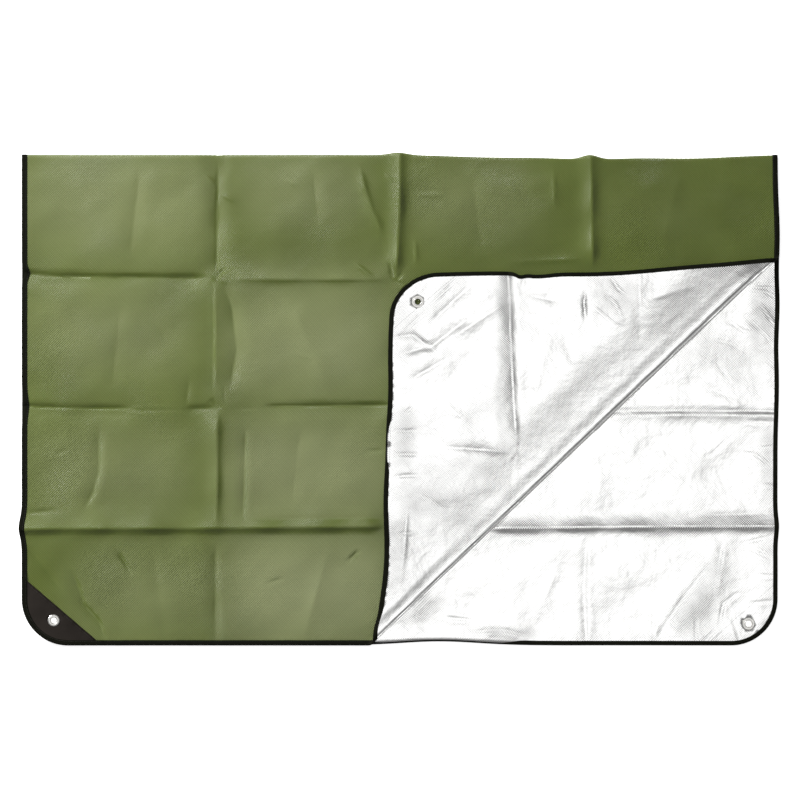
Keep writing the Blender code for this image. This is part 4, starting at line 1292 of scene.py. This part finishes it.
def stitched(line, height, side):
    """Stitches along a line of the flat cloth, as (vertices, faces). side is +1 on the silver side, -1 on the
    other. height is how far above the cloth's middle they lie, at each point of the line."""
    line = np.asarray(line, float)
    lengths = run_along(line)
    count = int(lengths[-1] / STITCH)
    starts = (np.arange(count) + STITCH_START) * STITCH
    rings = []
    for share, lift in THREAD_RINGS:
        place = starts + share * STITCH_SHOWN * STITCH
        flat = points_at(line, place)
        above = np.interp(place, lengths, np.broadcast_to(height, len(line))) + lift * MM
        out = side * normal(*flat.T)
        rings.append((lie(*flat.T) + above[:, None] * out, out))
    last = len(rings) - 1
    vertices = []
    for number, (place, out) in enumerate(rings):
        ahead = rings[min(number + 1, last)][0] - rings[max(number - 1, 0)][0]
        across = unit(np.cross(ahead, out))
        size = THREAD * (0.45 if number in (0, last) else 1)
        for step in range(THREAD_SIDES):
            angle = 2 * math.pi * step / THREAD_SIDES
            vertices.append(place + size * (math.cos(angle) * across + 0.8 * math.sin(angle) * out))
    around = range(THREAD_SIDES)
    stitch = grid_faces(len(rings), THREAD_SIDES, ring=False)
    stitch += [tuple(reversed(around)), tuple(last * THREAD_SIDES + step for step in around)]
    faces = [tuple(number * len(vertices) + v for v in face) for number in range(count) for face in stitch]
    return np.stack(vertices, axis=1).reshape(-1, 3), faces


def joined(parts):
    """Several (vertices, faces) as one."""
    vertices, faces, start = [], [], 0
    for points, made in parts:
        vertices.append(points)
        faces += [tuple(start + v for v in face) for face in made]
        start += len(points)
    return np.concatenate(vertices), faces


def make_stitches(edge, inward, material):
    """The tape's stitches on both sides, and those along the patches' slanting edges."""
    line = closed(edge + SEAM * TAPE_WIDTH * inward)
    lift = closed(patch_under(edge)) * (PATCH_THICK + GAP)
    far = CLOTH / 2 + GAP + TAPE_THICK
    green = stitched(line, far + lift - 0.08 * MM, -1)
    silver = stitched(line, np.where(closed(tape_lip(edge)) > 0.95, far, CLOTH / 2), 1)
    made = [
        piece("tape_stitches_green", *green, [material], "tape"),
        piece("tape_stitches_silver", *silver, [material], "tape"),
    ]
    rows = []
    for corner in CORNERS:
        corners = patch_outline(corner)
        along = unit(corners[0] - corners[-1])
        middle = corner_point(corner) - corners[-1]
        aside = PATCH_SEAM * unit(middle - (middle @ along) * along)
        short = 1.3 * TAPE_WIDTH * along
        ends = [corners[-1] + aside + short, corners[0] + aside - short]
        row = spaced(ends, 3 * MM)
        rows.append(stitched(row, CLOTH / 2 + GAP + PATCH_THICK, -1))
        rows.append(stitched(row, CLOTH / 2, 1))
    made.append(piece("patch_stitches", *joined(rows), [material], "patch"))
    return made


# Stage, light and camera

FLOOR = 30
FLOOR_LEVEL = -0.3 * MM


def make_floor():
    shader = Shader("floor", 0.9)
    shader.set("Base Color", (0.93, 0.93, 0.93))
    shader.set("Emission Color", (1, 1, 1))
    shader.set("Emission Strength", 0.72)
    mesh = bpy.data.meshes.new("floor")
    corners = [(-1, -1), (1, -1), (1, 1), (-1, 1)]
    mesh.from_pydata([(FLOOR * x, FLOOR * y, FLOOR_LEVEL) for x, y in corners], [], [(0, 1, 2, 3)])
    mesh.materials.append(shader.material)
    floor = bpy.data.objects.new("floor", mesh)
    bpy.context.scene.collection.objects.link(floor)


# Sky brightness by how near a direction is to straight up, and how far its middle leans to the upper left
SKY = [(0.0, 0.5), (0.4, 0.35), (0.55, 0.18), (0.7, 0.16), (0.8, 0.24), (0.87, 0.40), (0.92, 0.60),
       (0.955, 0.80), (0.975, 0.96), (0.99, 1.14), (1.0, 1.35)]
SKY_LEAN = 0.05


def make_sky():
    world = bpy.data.worlds.new("sky")
    sky = Nodes(world)
    place = sky.node("ShaderNodeTexCoord").outputs["Generated"]
    lean = (-SKY_LEAN * 0.707, SKY_LEAN * 0.707, 1)
    height = sky.node("ShaderNodeVectorMath", {0: place, 1: lean}, operation="DOT_PRODUCT").outputs["Value"]
    curve = sky.node("ShaderNodeFloatCurve", {"Value": height})
    points = curve.mapping.curves[0].points
    highest = max(value for _, value in SKY)
    heights = [(at, value / highest) for at, value in SKY]
    points[0].location = heights[0]
    points[1].location = heights[-1]
    for at in heights[1:-1]:
        points.new(*at)
    for point in points:
        point.handle_type = "VECTOR"
    curve.mapping.update()
    background = sky.tree.nodes["Background"].inputs
    sky.feed(background["Color"], curve.outputs[0])
    sky.feed(background["Strength"], highest)
    bpy.context.scene.world = world


# The one light: a disk to the upper left, low over the cloth
LIGHT_PLACE = (-4.4, 3.1, 2.4)
LIGHT_SIZE = 1.2
LIGHT_POWER = 660


def make_light():
    light = bpy.data.lights.new("key", "AREA")
    light.shape = "DISK"
    light.size = LIGHT_SIZE
    light.energy = LIGHT_POWER
    body = bpy.data.objects.new("key", light)
    body.location = LIGHT_PLACE
    body.rotation_euler = Vector(LIGHT_PLACE).to_track_quat("Z", "Y").to_euler()
    body.visible_camera = False
    bpy.context.scene.collection.objects.link(body)


# The camera: over the middle of the view, and so far up that its rays are nearly parallel
CAMERA_UP = 9.0
VIEW_WIDTH = 1.6149
VIEW_MIDDLE = (0.0014, -0.0022, 0.006)
SENSOR = 36


def make_camera():
    camera = bpy.data.cameras.new("camera")
    camera.type = "PERSP"
    camera.sensor_width = SENSOR
    camera.lens = SENSOR * CAMERA_UP / VIEW_WIDTH
    camera.clip_end = 100
    body = bpy.data.objects.new("camera", camera)
    body.location = Vector(VIEW_MIDDLE) + Vector((0, 0, CAMERA_UP))
    bpy.context.scene.collection.objects.link(body)
    bpy.context.scene.camera = body


def main():
    edge, inward = stations()
    metal = metal_material()
    patch = patch_material()
    cloth = make_cloth(edge, [silver_material(), green_material()])
    others = [make_tape(edge, inward, tape_material())]
    for corner in CORNERS:
        others.append(make_patch(corner, patch))
        others += make_eyelet(corner, metal)
    others += make_stitches(edge, inward, thread_material())
    make_floor()
    make_sky()
    make_light()
    make_camera()
    bpy.context.scene.view_settings.view_transform = "Standard"


main()
